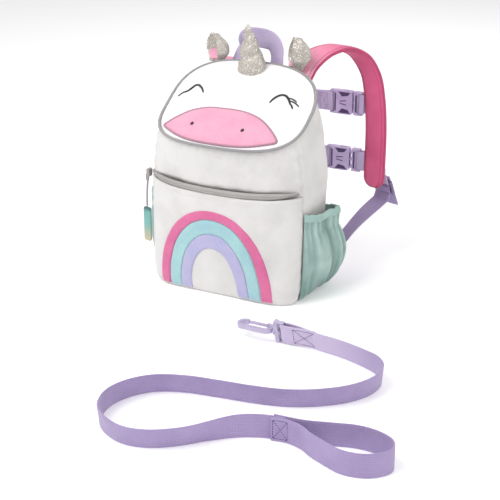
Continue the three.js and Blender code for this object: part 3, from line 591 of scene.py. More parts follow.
def webbing(name, colour, darker, rib=1.5):
    material, tree, shader = new_material(name, 0.75, 0.3, specular=0.3)
    threads = use(tree, WOVEN, Pitch_Along=rib, Pitch_Across=rib * 1.6)["Height"]
    tone = tone_of(tree, colour, darker, 0.3, 26.0)
    low = power_of(tree, minus(tree, 1.0, threads, True), 1.5)
    paint(tree, shader, times(tree, low, 0.55), tone, darker)
    relief(tree, shader, threads, 0.28)
    return material


def plastic(name, colour, darker, rough=0.38):
    material, tree, shader = new_material(name, rough, coat=0.08)
    tree.links.new(tone_of(tree, colour, darker, 0.35, 14.0), shader.inputs["Base Color"])
    grain = noise(tree, in_millimetres(tree), 2.2, 2.0)
    relief(tree, shader, grain, 0.05)
    tree.links.new(plus(tree, times(tree, grain, 0.16), rough - 0.08), shader.inputs["Roughness"])
    return material


def glitter(name, colour, darker, glint_colour):
    material, tree, shader = new_material(name, 0.4, specular=0.6)
    flakes = use(tree, FLAKES, Flake=0.95)
    shine = flakes["Shine"]
    # Painted glints: the flakes with the most shine are painted near white, and those with the least are
    # painted darker.
    painted_dim = times(tree, minus(tree, 0.45, shine), 1.4, True)
    painted_glint = times(tree, minus(tree, shine, 0.72), 3.4, True)
    shaded = mix_colour(tree, painted_dim, tone_of(tree, colour, darker, 0.5, 9.0), linear(darker))
    paint(tree, shader, painted_glint, shaded, glint_colour)
    tree.links.new(minus(tree, 0.62, times(tree, shine, 0.35)), shader.inputs["Roughness"])
    tree.links.new(times(tree, shine, 0.5), shader.inputs["Metallic"])
    relief(tree, shader, flakes["Height"], 0.35)
    return material


def net(name, colour, darker):
    """Stretch net with painted shade: darker in its folds, by the amounts of painted shade stored on the
    piece.
    """
    material, tree, shader = new_material(name, 0.8, 0.3, specular=0.2)
    holes = use(tree, NET, Pitch=2.0, Hole=0.27)
    # Painted shade: the stored amounts darken the net towards its darker colour, most in its inward folds and
    # at its bottom.
    deep = add_node(tree, "ShaderNodeAttribute", attribute_name="fold").outputs["Fac"]
    tone = tone_of(tree, colour, darker, 0.5, 16.0)
    fold_shaded = mix_colour(tree, times(tree, deep, 0.75, True), tone, linear(darker))
    paint(tree, shader, times(tree, holes["Hole"], 0.5), fold_shaded, darker)
    relief(tree, shader, holes["Height"], 0.3)
    return material


WHITE_CLOTH = cloth("white_cloth", "E6E4E2", "BDBAB9", amount=0.5)
WHITE_PLUSH = plush("white_plush", "FBFAFA", "DDD9DA", amount=0.3)
LIGHT_PINK = plush("light_pink_plush", "EFB0C5", "D78CA9", amount=0.45)
RAINBOW_PINK = plush("pink_plush", "DE7AA4", "B9507F", amount=0.5)
RAINBOW_MINT = plush("mint_plush", "A9D3CF", "8FB2C6", amount=0.6)
RAINBOW_LILAC = plush("lilac_plush", "BDB6D6", "98A0C6", amount=0.6)
# The net's darker colour also serves as painted shade in its folds and at its bottom.
MINT_NET = net("mint_net", "BDD6CF", "5C7B75")
MINT_BINDING = cloth("mint_binding", "B6D2CB", "6C918A", pitch=1.4, depth=0.25)
MINT_RUBBER = plastic("mint_rubber", "79AFAA", "4F8784", rough=0.45)
SILVER_TRIM = cloth("silver_trim", "A9A6A8", "6F6C6E", pitch=1.1, rough=0.55, depth=0.3)
ZIP_CLOTH = cloth("zip_cloth", "B9B5B2", "7D7977", pitch=1.3, rough=0.5, depth=0.3)
SILVER_METAL = plastic("silver_metal", "9D9A99", "6E6B6B", rough=0.3)
# The last colour is painted onto the shiniest flakes as glints.
GLITTER = glitter("silver_glitter", "BEB8AF", "857F78", "F1EDE6")
PINK_CLOTH = cloth("pink_cloth", "E66A95", "BE3F6D", pitch=0.8, amount=0.55)
PINK_BINDING = webbing("pink_binding", "C94C78", "98345A", rib=1.1)
# A lighter copy of the lilac webbing, painted light, for the handle, chest and lock webs; the darker tether
# copy stands as painted shade on the lower straps.
LIT_LILAC_WEB = webbing("lilac_web", "CFC0DE", "8F7CAE")
TETHER_WEB = webbing("tether_lilac_web", "B2A1CA", "7A6798")
TETHER_WEB_LIT_END = webbing("lead_web", "B2A1CA", "7A6798")
LILAC_PLASTIC = plastic("lilac_plastic", "CDBBE0", "8A70AE")
LOCK_PLASTIC = plastic("lock_plastic", "79668F", "463259")
CLIP_PLASTIC = plastic("clip_plastic", "BDB3CF", "8E82A4")
# Painted shade for the plates in the buckles' gaps.
BUCKLE_GAP_SHADE = plastic("buckle_shade", "54406B", "352547", rough=0.6)
DARK_THREAD = webbing("dark_thread", "3A3638", "1E1B1D", rib=0.7)
WHITE_THREAD = cloth("white_thread", "E4E1E0", "C4C0C0", pitch=0.5)
LILAC_THREAD = cloth("lilac_thread", "9C86B8", "6E5890", pitch=0.5)
DARK_LILAC_THREAD = cloth("dark_lilac_thread", "5F4E78", "433458", pitch=0.5)
PINK_THREAD = cloth("pink_thread", "B84670", "8C3054", pitch=0.5)
MAUVE_THREAD = webbing("mauve_thread", "C99AAE", "A07488", rib=0.8)
# Painted highlight: each tether piece turns lighter over its first 50 to 130 mm, near the clip.
run_in(TETHER_WEB_LIT_END, ("UV", 0), 0.13, 0.05, "D3C5E0", 0.8)
# Painted highlight: the shoulder pads turn lighter towards their upper ends, fully within 20 mm and fading
# out by 100 mm.
run_in(PINK_CLOTH, ("UV", 0), 0.1, 0.02, "FBC6D8", 0.75)
run_in(MINT_RUBBER, ("Object", 2), 0.07, 0.052, "BDB091", 0.9)
run_in(MINT_RUBBER, ("Object", 2), 0.085, 0.09, "2F4F52", 0.8)


# The bag's outline, as in the part: height, half width, depths and roundness front and back

BODY = np.array([
    [0, 91, 46, 46, 6, 6], [8, 96, 51, 49.5, 5, 5.5], [24, 98.5, 53.5, 51, 4.4, 5.2],
    [62, 101, 56, 53, 3.6, 5], [100, 103, 57.2, 54, 3.1, 5], [129, 104, 57.6, 54, 2.8, 5],
    [145, 104, 60, 54, 2.75, 5],
])
ZIP_ROW = BODY[-1, 1:]
LID_ROW = np.array([91.8, 59.2, 51, 2.85, 2.85])
SEAM_HEIGHT, SEAM_SLOPE, SEAM_BEND = 218.7, 0.717, 0.0033
LID_DOME, DOME_POWER = 13, 3
SEAM_Y = -28
POCKET_SPACE = 10
POCKET_TOP = 130.4
ZIP_LOW, ZIP_HEIGHT, ZIP_LIFT = 131, 7.2, 4
MIDDLE = -3


def seam_height(y):
    return SEAM_HEIGHT + SEAM_SLOPE * y + SEAM_BEND * y * y


FINE_Z = np.arange(0, 146)


def soften_rows():
    """The outline's rows with rounded steps between them, one for each millimetre of height."""
    rows = np.stack([np.interp(FINE_Z, BODY[:, 0], BODY[:, k]) for k in range(1, 6)], -1)
    kernel = np.hanning(15) / np.hanning(15).sum()
    rows = np.pad(rows, ((7, 7), (0, 0)), mode="reflect", reflect_type="odd")
    return np.stack([np.convolve(rows[:, k], kernel, "valid") for k in range(5)], -1)


FINE_ROWS = soften_rows()


def row_at(z):
    """Half width, depths and roundness at heights."""
    z = np.asarray(z, float)
    return np.stack([np.interp(z, FINE_Z, FINE_ROWS[:, k]) for k in range(5)], -1)


def outline(row, angle, grow=0.0):
    """Points round a row's outline, grown outwards."""
    half, front, back, round_front, round_back = (row[..., k] for k in range(5))
    c, s = np.cos(angle), np.sin(angle)
    depth = np.where(s < 0, front, back) + grow
    power = 2 / np.where(s < 0, round_front, round_back)
    return np.stack([(half + grow) * signed(c, power), depth * signed(s, power)], -1)


def seam_angle(row):
    return -np.arcsin((-SEAM_Y / row[..., 1]) ** (row[..., 3] / 2))


def columns(row, grow, front, count):
    """Even points of a row's outline between the front seams, or round the sides and back."""
    seam = seam_angle(row)
    ends = (-np.pi - seam, seam) if front else (seam, np.pi - seam)
    return resample(outline(row, np.linspace(*ends, 700), grow), count)


FRONT_STEPS, BACK_STEPS = 110, 190


def ring_of(row):
    """Even points all round a row's outline, its front first."""
    return np.vstack([columns(row, 0, True, FRONT_STEPS)[:-1], columns(row, 0, False, BACK_STEPS)[:-1]])


def front_at(row, x, out=0.0):
    """How far forwards a row's front lies at places across the bag."""
    share = np.clip(np.abs(x) / (row[..., 0] + out), 0, 1)
    return -(row[..., 1] + out) * (1 - share ** row[..., 3]) ** (1 / row[..., 3])


def push(points, amount, around=True):
    """Moves a grid's points along its outward normals."""
    if around:
        ring = np.concatenate([points[:, -1:], points, points[:, :1]], 1)
        du = ring[:, 2:] - ring[:, :-2]
    else:
        du = np.gradient(points, axis=1)
    dv = np.gradient(points, axis=0)
    normal = unit(np.cross(du, dv))
    middle = points.mean((0, 1))
    if ((points - middle) * normal).sum() < 0:
        normal = -normal
    return points + normal * amount[..., None]


def hollows(points):
    """Soft dents of filled cloth: broad ones, smaller ones, and a few upright creases."""
    creases = np.abs(lumps(points * [1, 1, 0.45] + 150, 24)) ** 0.7
    dents = 1.6 * lumps(points, 46) + 1.0 * lumps(points + 90, 19) + 0.3 * lumps(points + 40, 8)
    return dents + 0.9 * (creases - 0.5)


# Tether: the cords come first. Its route is the webbing's lower edge, which stands on the floor

TETHER_LEAN, LEAN_ASIDE = 17, 0.53
EYE = np.array([131.5, -135.7, 14.7])
TAIL = 40
PLY = 2.7  # from the middle of a bar to the middle of the web round it
EYE_REACH = 8  # how far from the eye's bar the web's two plies stay apart
WRAP_STEPS = 14
SEAM_WIDTH = 19.0
WEB_STITCH = (2.6, 1.9)  # pitch and length
TETHER_ROUTE = [
    [172, -133.8, 1.6], [200, -136.5, 0.6], [229, -145, 0.3], [250, -156, 0.3], [262, -174, 0.3],
    [262, -198, 0.3], [249, -224, 0.3], [226, -246, 0.3], [198, -262, 0.3], [165, -271, 0.3],
    [127, -277, 0.3], [92, -284, 0.3], [65, -297, 0.3], [49, -318, 0.3], [43, -341, 0.3],
    [46, -362, 0.3], [56, -380, 0.3], [74, -393, 0.3], [96, -399, 0.3], [119, -394, 0.3],
    [141, -379, 0.3], [161, -358, 0.3], [184, -338, 0.3], [206, -327, 0.3], [226, -323, 0.3],
]
LOOP_ROUTE = [
    [214, -328, 0.3], [228, -325.6, 0.3], [245, -329, 0.3], [260, -338, 0.3], [277, -345.5, 0.3],
    [296, -352, 0.3], [315, -350, 0.3], [329, -341, 0.3], [336, -328, 0.3], [331, -314, 0.3],
    [313, -305, 0.3], [292, -304, 0.3], [268, -311, 0.3], [246, -318, 0.3], [228, -320.4, 0.3],
    [214, -321.6, 0.3],
]


def at_eye(x, y):
    """Lower edge of the webbing at a place in the clip's own plane."""
    lean = math.radians(TETHER_LEAN)
    c, s = math.cos(lean), math.sin(lean)
    low = -WEB_WIDTH / 2
    return EYE + np.array([x, y * c - low * s, y * s + low * c])


def tether_across(t):
    forwards = math.tan(math.radians(TETHER_LEAN)) * (1 - smooth(0.86, 0.95, t))
    return np.stack([LEAN_ASIDE * forwards * smooth(0.03, 0.16, t), -forwards, np.ones_like(t)], -1)


def wrap_arc(x, y, start, turn):
    """A web's way round a bar."""
    angle = np.radians(start + turn * np.linspace(0, 1, WRAP_STEPS + 1))
    return [(x + PLY * math.cos(a), y + PLY * math.sin(a)) for a in angle]


def middle_line(line, across):
    """The middle of a web whose lower edge is line, and the directions across it and out of it."""
    wide, out = frames(line, across)
    return line + wide * WEB_WIDTH / 2, wide, out


EDGE_SECTION = web_section(lift=WEB_WIDTH / 2)
tether_line = resample(curve([at_eye(EYE_REACH, PLY), at_eye(TAIL / 2, 1.4)] + TETHER_ROUTE), 260)
across = tether_across(np.linspace(0, 1, len(tether_line)))
tether_web = sweep("tether_web", tether_line, across, EDGE_SECTION, TETHER_WEB_LIT_END)
tether_middle = middle_line(tether_line, across)
tail_places = [(TAIL, -1.2), (TAIL / 2, -1.6), (EYE_REACH, -PLY)]
tail_places += wrap_arc(0, 0, -90, -180) + [(EYE_REACH, PLY)]
tail_line = resample([at_eye(*spot) for spot in tail_places], 60)
tail_across = np.repeat(tether_across(np.zeros(1)), len(tail_line), 0)
tether_tail = sweep("tether_tail", tail_line, tail_across, EDGE_SECTION, TETHER_WEB_LIT_END)
tail_middle = middle_line(tail_line, tail_across)
loop_line = resample(curve(LOOP_ROUTE), 150)
tether_loop = sweep("tether_loop", loop_line, UP, EDGE_SECTION, TETHER_WEB)
loop_middle = middle_line(loop_line, np.broadcast_to(UP, loop_line.shape))


def box_stitch(middle, along, across_way, out, length):
    """Seams of a sewn box with a cross in it."""
    corner = [middle + along * sx * length / 2 + across_way * sy * SEAM_WIDTH / 2
              for sx, sy in ((-1, -1), (1, -1), (1, 1), (-1, 1))]
    pairs = [(0, 1), (1, 2), (2, 3), (3, 0), (0, 2), (1, 3)]
    return [(np.array([corner[a], corner[b]]), out) for a, b in pairs]


def on_web(path, wide, out, start, end):
    """Seams of a sewn box with a cross on both faces of a web, between two of its points."""
    span = slice(start, end)
    half = wide[span] * SEAM_WIDTH / 2
    share = np.linspace(-1, 1, end - start)[:, None]
    seams = []
    for side in (1, -1):
        normals = out[span] * side
        face = path[span] + normals * (WEB_THICK / 2 + 0.1)
        edges = [face + half, face - half, face + half * share, face - half * share]
        seams += [(edge, normals) for edge in edges]
        seams += [(np.array([edges[0][k], edges[1][k]]), normals[k]) for k in (0, -1)]
    return seams


seams = on_web(*tail_middle, 2, 30) + on_web(*tether_middle, 2, 10)
seams += on_web(*loop_middle, 1, 10) + on_web(*loop_middle, 141, 150)
tether_stitching = stitches("tether_stitching", seams, DARK_LILAC_THREAD, *WEB_STITCH)
tether_hook = solid("tether_hook", "lilac_plastic", CLIP_PLASTIC, 0.7, body="hook")
tether_gate = solid("tether_gate", "lilac_plastic", CLIP_PLASTIC, 0.3, "_lever", "gate")
tether_eye = solid("tether_eye", "lilac_plastic", CLIP_PLASTIC, 0.45)


def run_of(path):
    """A path's length in metres."""
    return float(run_along(path)[-1] * MM)


tether_path, loop_path = tether_middle[0], loop_middle[0]
place(tether_tail, "lilac_web", "tether_web")
place(tether_web, "lilac_web", "tether_web")
place(tether_loop, "lilac_web", "tether_loop")
place(tether_stitching, "lilac_web")
run_of(tether_path)
run_of(loop_path[4:-4])


# Shell, pocket panel and zip

SHELL_THICK, PANEL_THICK, ZIP_THICK, RAINBOW_THICK, LID_THICK = 1.6, 1.8, 1.2, 1.0, 2.6
PANEL_OUT = 2.3  # from the bag's outline to the panel's face
PANEL_COLUMNS = 120


def pocket_dent(x, z):
    """Dents of the filled pocket, which fade towards its seams."""
    flat = np.stack([x, 0 * x, z], -1)
    return 0.7 * hollows(flat) * (1 - smooth(70, 92, np.abs(x))) * smooth(2, 16, z)


def pocket_point(x, z, out):
    """Outer point of the pocket's panel at a place across the bag and a height."""
    return np.stack([x, front_at(row_at(z), x, out) - pocket_dent(x, z), z], -1)


def make_shell():
    points = []
    for z in np.concatenate([np.linspace(0, 24, 14), np.linspace(28, 145, 42)]):
        ring = ring_of(row_at(z))
        recess = POCKET_SPACE * smooth(2, 14, z) * (1 - smooth(125, 144, z)) * smooth(28, 46, -ring[:, 1])
        points.append(np.column_stack([ring[:, 0], ring[:, 1] + recess, np.full(len(ring), z)]))
    top = seam_height(ring_of(LID_ROW)[:, 1]) - 0.15
    for t in np.linspace(0, 1, 42)[1:]:
        points.append(np.column_stack([ring_of(mix(ZIP_ROW, LID_ROW, t * t)), mix(145, top, t)]))
    points = np.array(points)
    edges = np.concatenate([points, points[:, :1]], 1)
    run = np.cumsum(np.linalg.norm(np.diff(edges, axis=1), axis=-1), 1)
    height = points[..., 2]
    to_top = points[-1:, :, 2] - height
    dents = hollows(points) * smooth(0, 14, height) * (0.35 + 0.65 * smooth(0, 16, to_top))
    side = smooth(SEAM_Y, SEAM_Y + 20, points[..., 1])
    drape = 0.9 * np.sin(run / 23 + 0.6 * lumps(points, 60)) * side
    drape = drape * smooth(10, 60, height) * smooth(0, 50, to_top)
    pucker = 0.5 * np.sin(run / 1.7 + 3 * lumps(points, 25)) * np.exp(-to_top / 9)
    front_seam = run[:, FRONT_STEPS:FRONT_STEPS + 1]
    seam = np.minimum(np.abs(run - front_seam), np.minimum(run, np.abs(run[:, -1:] - run)))
    fold = -0.9 * np.exp(-(seam / 1.5) ** 2) + 0.7 * np.exp(-((seam - 4) / 2) ** 2)
    fold = fold * smooth(4, 20, height)
    tug = 0.7 * np.sin(height / 2.6 + 2 * lumps(points, 18)) * np.exp(-(seam / 7) ** 2)
    base_seam = -0.8 * np.exp(-((height - 9) / 1.3) ** 2)
    points = push(points, dents + drape + pucker + fold + tug * smooth(10, 30, height) + base_seam)
    sew("bag_shell_cloth", points, WHITE_CLOTH, SHELL_THICK, "white_cloth", "bag_shell", (0, 0, 100),
        True, (True, False))


def make_panel():
    """The front pocket's outer cloth, hemmed along its top."""
    heights = np.concatenate([np.linspace(1.2, 20, 12), np.linspace(24, POCKET_TOP, 46)])
    u = np.linspace(-1, 1, PANEL_COLUMNS + 1)
    points = []
    for z in heights:
        flat = columns(row_at(z), PANEL_OUT, True, PANEL_COLUMNS)
        points.append(np.column_stack([flat, z + ZIP_LIFT * u ** 2 * smooth(100, POCKET_TOP, z)]))
    points = np.array(points)
    for _ in range(2):
        points[1:-1] = (points[:-2] + 2 * points[1:-1] + points[2:]) / 4
    x, z = points[..., 0], points[..., 2]
    to_top = heights[-1] - heights[:, None]
    steps = np.arange(PANEL_COLUMNS + 1)
    edge = np.minimum(steps, steps[::-1])[None] * 2.0
    hem = -0.6 * np.exp(-((to_top - 7) / 1.1) ** 2) + 0.5 * np.exp(-((to_top - 3.5) / 2.4) ** 2)
    tuck = 0.5 * np.sin(z / 2.4 + 2 * lumps(points, 15)) * np.exp(-(edge / 8) ** 2)
    tuck = tuck - 1.0 * (1 - smooth(0, 7, edge))
    points = push(points, pocket_dent(x, z) + hem + tuck * smooth(4, 20, z), around=False)
    sew("pocket_panel_cloth", points, WHITE_CLOTH, PANEL_THICK, "white_cloth", "pocket_panel", (0, 60, 60))
    upright = points[heights > 5]
    top = points[int(np.argmin(np.abs(heights - (POCKET_TOP - 6)))), 3:-3]
    lines = ((upright[:, 2], 0.6), (upright[:, -3], 0.6), (top, 0.3))
    lines = [(line, unit(line * [turn, 1, 0])) for line, turn in lines]
    place(stitches("pocket_stitching", lines, WHITE_THREAD), "white_cloth")


def make_zip():
    """The zip's tape, which bows over two rows of teeth and narrows to its ends."""
    x = np.linspace(-99, 98, 161)
    u = (x + 99) / 197
    taper = 0.45 + 0.55 * smooth(0, 0.12, u) * smooth(0, 0.12, 1 - u)
    angle = -np.arccos((np.abs(x) / (ZIP_ROW[0] + 1.8)) ** (ZIP_ROW[3] / 2))
    turn = np.where(x < 0, -np.pi - angle, angle)
    row = np.broadcast_to(ZIP_ROW, (len(x), 5))
    points = []
    for share in np.linspace(0, 1, 25):
        lip = np.exp(-((share - 0.36) / 0.09) ** 2) + np.exp(-((share - 0.64) / 0.09) ** 2)
        z = ZIP_LOW + ZIP_LIFT * (x / 100) ** 2 + ZIP_HEIGHT * (0.5 + (share - 0.5) * taper)
        out = 1.7 + 1.0 * lip - 1.1 * (2 * share - 1) ** 6 + 0.25 * np.sin(x / 1.4) * lip
        points.append(np.column_stack([outline(row, turn, out), z]))
    sew("zip_tape_cloth", points, ZIP_CLOTH, ZIP_THICK, "silver_trim", "zip_tape", (0, 60, 136))


PULL_ROUTE = [[-104.2, -37, 125.5], [-105, -37.6, 114], [-105.4, -38, 100], [-105.4, -38, 92.5]]
PULL_RADIUS, PULL_TWISTS = 1.15, 60


def make_pull():
    """The zip's slider, and the twisted cord that its tab hangs from."""
    solid("zip_slider", "silver_metal", SILVER_METAL, 0.7)
    line = resample(curve(PULL_ROUTE), 40)
    sides = np.arange(10) / 10 * 2 * np.pi
    twist = 1 + 0.16 * np.sin(np.linspace(0, 1, 41)[:, None] * PULL_TWISTS + sides)
    section = round_section(PULL_RADIUS) * twist[..., None]
    place(sweep("pull_cord_twist", line, ACROSS, section, SILVER_TRIM), "silver_trim", "pull_cord")
    solid("pull_tab", "mint_rubber", MINT_RUBBER, 1.1)


make_shell()
make_panel()
make_zip()
make_pull()


# Rainbow on the pocket: half widths and heights of its arches, from outside in

RAINBOW = [("pink", 76, 105, RAINBOW_PINK), ("mint", 62, 94, RAINBOW_MINT), ("lilac", 46, 76, RAINBOW_LILAC),
           (None, 31, 58, None)]
RAINBOW_LOW, ARCH_ROUND = 4, 2.15


def arch(half, height):
    turn = np.pi * (0.5 - 0.5 * np.cos(np.linspace(0, np.pi, 121)))
    power = 2 / ARCH_ROUND
    return signed(np.cos(turn), power) * half, RAINBOW_LOW + height * np.abs(np.sin(turn)) ** power


def make_rainbow():
    for (word, half, height, material), (_, in_half, in_height, _) in zip(RAINBOW, RAINBOW[1:]):
        (x0, z0), (x1, z1) = arch(half, height), arch(in_half, in_height)
        rows = []
        for share in np.linspace(0, 1, 15):
            out = PANEL_OUT + 0.15 + 1.3 * (1 - abs(2 * share - 1) ** 6) ** 0.8
            rows.append(pocket_point(MIDDLE + mix(x0, x1, share), mix(z0, z1, share), out))
        rows = np.array(rows)
        rows[..., 1] -= 0.18 * lumps(rows, 5)
        node = f"rainbow_{word}"
        sew(node + "_plush", rows, material, RAINBOW_THICK, f"{word}_plush", node, (0, 60, 50))


make_rainbow()


# Lid, its piping and the face

def lid_reach(x, y):
    power = LID_ROW[3]
    depth = np.where(y < 0, LID_ROW[1], LID_ROW[2])
    return (np.abs(x / LID_ROW[0]) ** power + np.abs(y / depth) ** power) ** (1 / power)


def lid_point(x, y, lift=0.0):
    x, y = np.asarray(x, float), np.asarray(y, float)
    z = seam_height(y) + 0.15 + LID_DOME * (1 - np.minimum(lid_reach(x, y), 1) ** DOME_POWER)
    flat = np.stack([x, y, 0 * x], -1)
    soft = 0.5 * lumps(flat, 34) + 0.3 * lumps(flat + 50, 13)
    soft = soft * (1 - smooth(0.85, 1, lid_reach(x, y)))
    return np.stack([x, y, z + lift + soft], -1)


def make_lid():
    edge = outline(np.broadcast_to(LID_ROW, (240, 5)), np.linspace(0, 2 * np.pi, 241)[:-1])
    edge = resample(np.vstack([edge, edge[:1]]), 240)[:-1]
    shares = np.concatenate([np.linspace(0.02, 0.9, 40), np.linspace(0.915, 1, 12)])
    points = np.array([lid_point(edge[:, 0] * s, edge[:, 1] * s) for s in shares])
    sew("lid_plush", points[::-1], WHITE_PLUSH, LID_THICK, "white_plush", "lid", (0, 0, 150),
        True, (False, True))


PIPING_OUT, PIPING_RADIUS, PIPING_SIDES = 2.1, 1.75, 12


def make_piping():
    """Twisted cord round the lid's seam."""
    turn = np.linspace(0, 2 * np.pi, 1201)[:-1]
    row = np.broadcast_to(LID_ROW, (1200, 5))
    line = np.column_stack([outline(row, turn, PIPING_OUT), seam_height(outline(row, turn)[:, 1])])
    line = resample(np.vstack([line, line[:1]]), 300)
    sides = np.arange(PIPING_SIDES) / PIPING_SIDES * 2 * np.pi
    rope = 1 + 0.05 * np.sin(np.linspace(0, 1, 301)[:, None] * 2 * np.pi * 150 + sides * 3)
    section = round_section(PIPING_RADIUS, PIPING_SIDES)[None] * rope[..., None]
    place(sweep("lid_piping_cord", line, UP, section, SILVER_TRIM), "silver_trim", "lid_piping")


def muzzle_edge(t):
    """The muzzle's edge on the lid, seen from above."""
    across = signed(np.cos(t), 0.66)
    x = MIDDLE + 75 * across
    upper = -16 - 20 * np.abs(across) ** 2.8
    lower = front_at(np.broadcast_to(LID_ROW, x.shape + (5,)), x) + 1.8
    return x, mix(lower, upper, (1 + signed(np.sin(t), 0.62)) / 2)


def make_muzzle():
    turn = np.linspace(0, 2 * np.pi, 161)[:-1]
    x, y = muzzle_edge(turn)
    edge = resample(np.column_stack([np.append(x, x[0]), np.append(y, y[0])]), 160)[:-1]
    middle = np.array([MIDDLE, -37.0])
    rows = []
    for share in np.linspace(0.03, 1, 26):
        flat = middle + (edge - middle) * share
        puff = 0.5 + 4.4 * (1 - share ** 4) ** 0.7
        rows.append(lid_point(flat[:, 0], flat[:, 1], puff))
    patch = grid("muzzle_plush", np.array(rows)[::-1], LIGHT_PINK, True, (False, True),
                 inside=(MIDDLE, -30, 150))
    place(patch, "light_pink_plush", "muzzle")
    border = lid_point(edge[:, 0], edge[:, 1], 0.9)
    border = np.vstack([border, border[:1]])
    ribs = 1 + 0.1 * np.sin(np.arange(len(border))[:, None] * 2.4)
    section = round_section(1.5, 10, 0.7)[None] * ribs[..., None]
    place(sweep("muzzle_border", border, UP, section, MAUVE_THREAD), "light_pink_plush")


# The closed eyes' lines and lashes, and the nostrils, from above

EYE_ARCS = [
    [(-81.9, 2.6), (-77, 5.2), (-71.2, 6.5), (-67, 10), (-63.7, 12.8), (-60, 12.9), (-56.2, 10.9),
     (-51.5, 7.4), (-47.9, 3.4)],
    [(41.7, 0.8), (43.6, 5.2), (46.5, 8.9), (49.8, 11.6), (53.4, 12.9), (57, 12.8), (60.1, 11.3),
     (63.6, 8.4), (66.3, 4.9)],
]
LASHES = [
    [(-82.3, 1.6), (-80.5, 3.2), (-78.4, 4.7)],
    [(60.1, 11.3), (66.5, 11.6), (72.5, 10.2)],
    [(63.2, 8.8), (70.5, 8.6), (77.2, 6.4)],
    [(65.6, 6.2), (69, 3.8), (71.2, 1.1)],
]
EYE_LINE, LASH_LINE, LINE_SIDES = 1.9, 1.25, 8
NOSTRILS = ((-37.1, -41.9), (28.9, -41.4))
NOSTRIL_WIDE, NOSTRIL_DEEP, NOSTRIL_SIDES, NOSTRIL_SLOPE = 2.3, 2.6, 14, 0.504


def make_face():
    verts, faces = [], []
    ring = round_section(1, LINE_SIDES, 0.6)
    for rows, size in [(rows, EYE_LINE) for rows in EYE_ARCS] + [(rows, LASH_LINE) for rows in LASHES]:
        flat = resample(curve([[x, y, 0] for x, y in rows]), 40)
        line = lid_point(flat[:, 0], flat[:, 1], 0.35)
        taper = 0.35 + 0.65 * np.sin(np.pi * np.clip(np.linspace(0, 1, len(line)), 0.02, 0.98)) ** 0.5
        width, thick = frames(line, np.cross(np.gradient(line, axis=0), UP))
        round_line = width[:, None] * ring[:, :1] + thick[:, None] * ring[:, 1:]
        verts.append((line[:, None] + round_line * (size * taper)[:, None, None]).reshape(-1, 3))
        faces.append(drum(len(line), LINE_SIDES))
    rings = (0.1, 0.6, 0.9, 1)
    for x, y in NOSTRILS:
        top = lid_point(x, y, 4.9)
        dome = []
        for r in rings:
            for a in np.arange(NOSTRIL_SIDES) / NOSTRIL_SIDES * 2 * np.pi:
                px, py = NOSTRIL_WIDE * r * math.cos(a), NOSTRIL_DEEP * r * math.sin(a)
                dome.append(top + [px, py, 0.9 * (1 - r ** 3) - 0.3 + NOSTRIL_SLOPE * py])
        verts.append(np.array(dome))
        faces.append(drum(len(rings), NOSTRIL_SIDES))
    place(join_up("face_embroidery", verts, faces, DARK_THREAD), None)


make_lid()
make_piping()
make_muzzle()
make_face()


# Horn and ears

def make_horn():
    """A stuffed cone with a spiral groove, flattened and leaning a little."""
    x, y, radius, flat, height, lean, turns = -1, 39, 17.5, 0.6, 52, -6, 2.4
    sides, rows = 72, 90
    angle = np.arange(sides) / sides * 2 * np.pi
    t = np.linspace(0, 0.995, rows)[:, None]
    wave = np.cos(angle - t * turns * 2 * np.pi)
    groove = np.clip(wave, 0, 1) ** 3
    r = radius * (1 - t) ** 0.72 + 1
    r = r * (1 - smooth(0.9, 1, t) * 0.55)
    r = r - 3.3 * groove * (1 - t * 0.6) + 0.7 * (1 - t)
    px, py = x + lean * t + r * np.cos(angle), y + r * np.sin(angle) * flat
    foot = lid_point(px, py, 0.3)[..., 2]
    top = float(lid_point(x, y)[2]) + height
    points = np.stack([px, py, mix(foot, top, t)], -1)
    points = push(points, 0.5 * lumps(points, 9) + 0.25 * lumps(points, 4))
    obj = grid("horn_stuffed", points, GLITTER, True, (True, True))
    place(obj, "silver_glitter", "horn")


# Each ear's foot, height, radius, depth, the way it faces, its tilt and how far up its lining goes
EARS = [
    ("left", -59.5, 54.8, 258.5, 34, 19, 8, 215, -4, 0.5),
    ("right", 44.5, 57, 259, 38, 21, 8, 195, 3, 0.36),
]
EAR_THICK, LINING_THICK = 2.2, 1.0


def ear_surface(spec, inset, low, high, wrap):
    """Half a tapering tube that is open where the ear faces, or its lining, inset from it."""
    x, y, z, height, radius, depth, faces, tilt = spec[1:9]
    rows, cols = 40, 56
    bow = 1 - 0.55 * np.linspace(-1, 1, cols) ** 4 if inset else 1
    rise = low + (high - low) * np.linspace(0, 1, rows)[:, None] * bow
    round_ = (0.6 + 0.4 * smooth(0, 0.4, rise)) * (1 - 0.62 * smooth(0.5, 1.05, rise) ** 1.6)
    deep = 0.35 + 0.65 * smooth(0, 0.35, rise)
    angle = math.radians(faces) + np.pi + math.radians(wrap) * np.linspace(-1, 1, cols)[None]
    lean = math.tan(math.radians(tilt)) * height * rise
    px = x + lean + (radius * round_ - inset) * np.cos(angle)
    py = y + (depth * round_ * deep - inset) * np.sin(angle)
    return np.stack([px, py, z + height * rise + 0 * angle], -1)


def make_ears():
    for spec in EARS:
        name, middle = spec[0], (spec[1], spec[2], spec[3] + 18)
        outer = ear_surface(spec, 0, 0, 1, 105)
        outer = push(outer, 0.6 * lumps(outer, 12) + 0.3 * lumps(outer, 5), around=False)
        sew(f"ear_{name}_cloth", outer, GLITTER, EAR_THICK, "silver_glitter", f"ear_outer_{name}", middle)
        inner = ear_surface(spec, 3.2, 0.1, spec[9], 100)
        inner = push(inner, 0.4 * lumps(inner, 8), around=False)
        sew(f"ear_{name}_lining", inner, LIGHT_PINK, LINING_THICK, "light_pink_plush",
            f"ear_lining_{name}", middle)


make_horn()
make_ears()


# Side pockets: u runs from the front seam to the back, v from the bottom to the hem

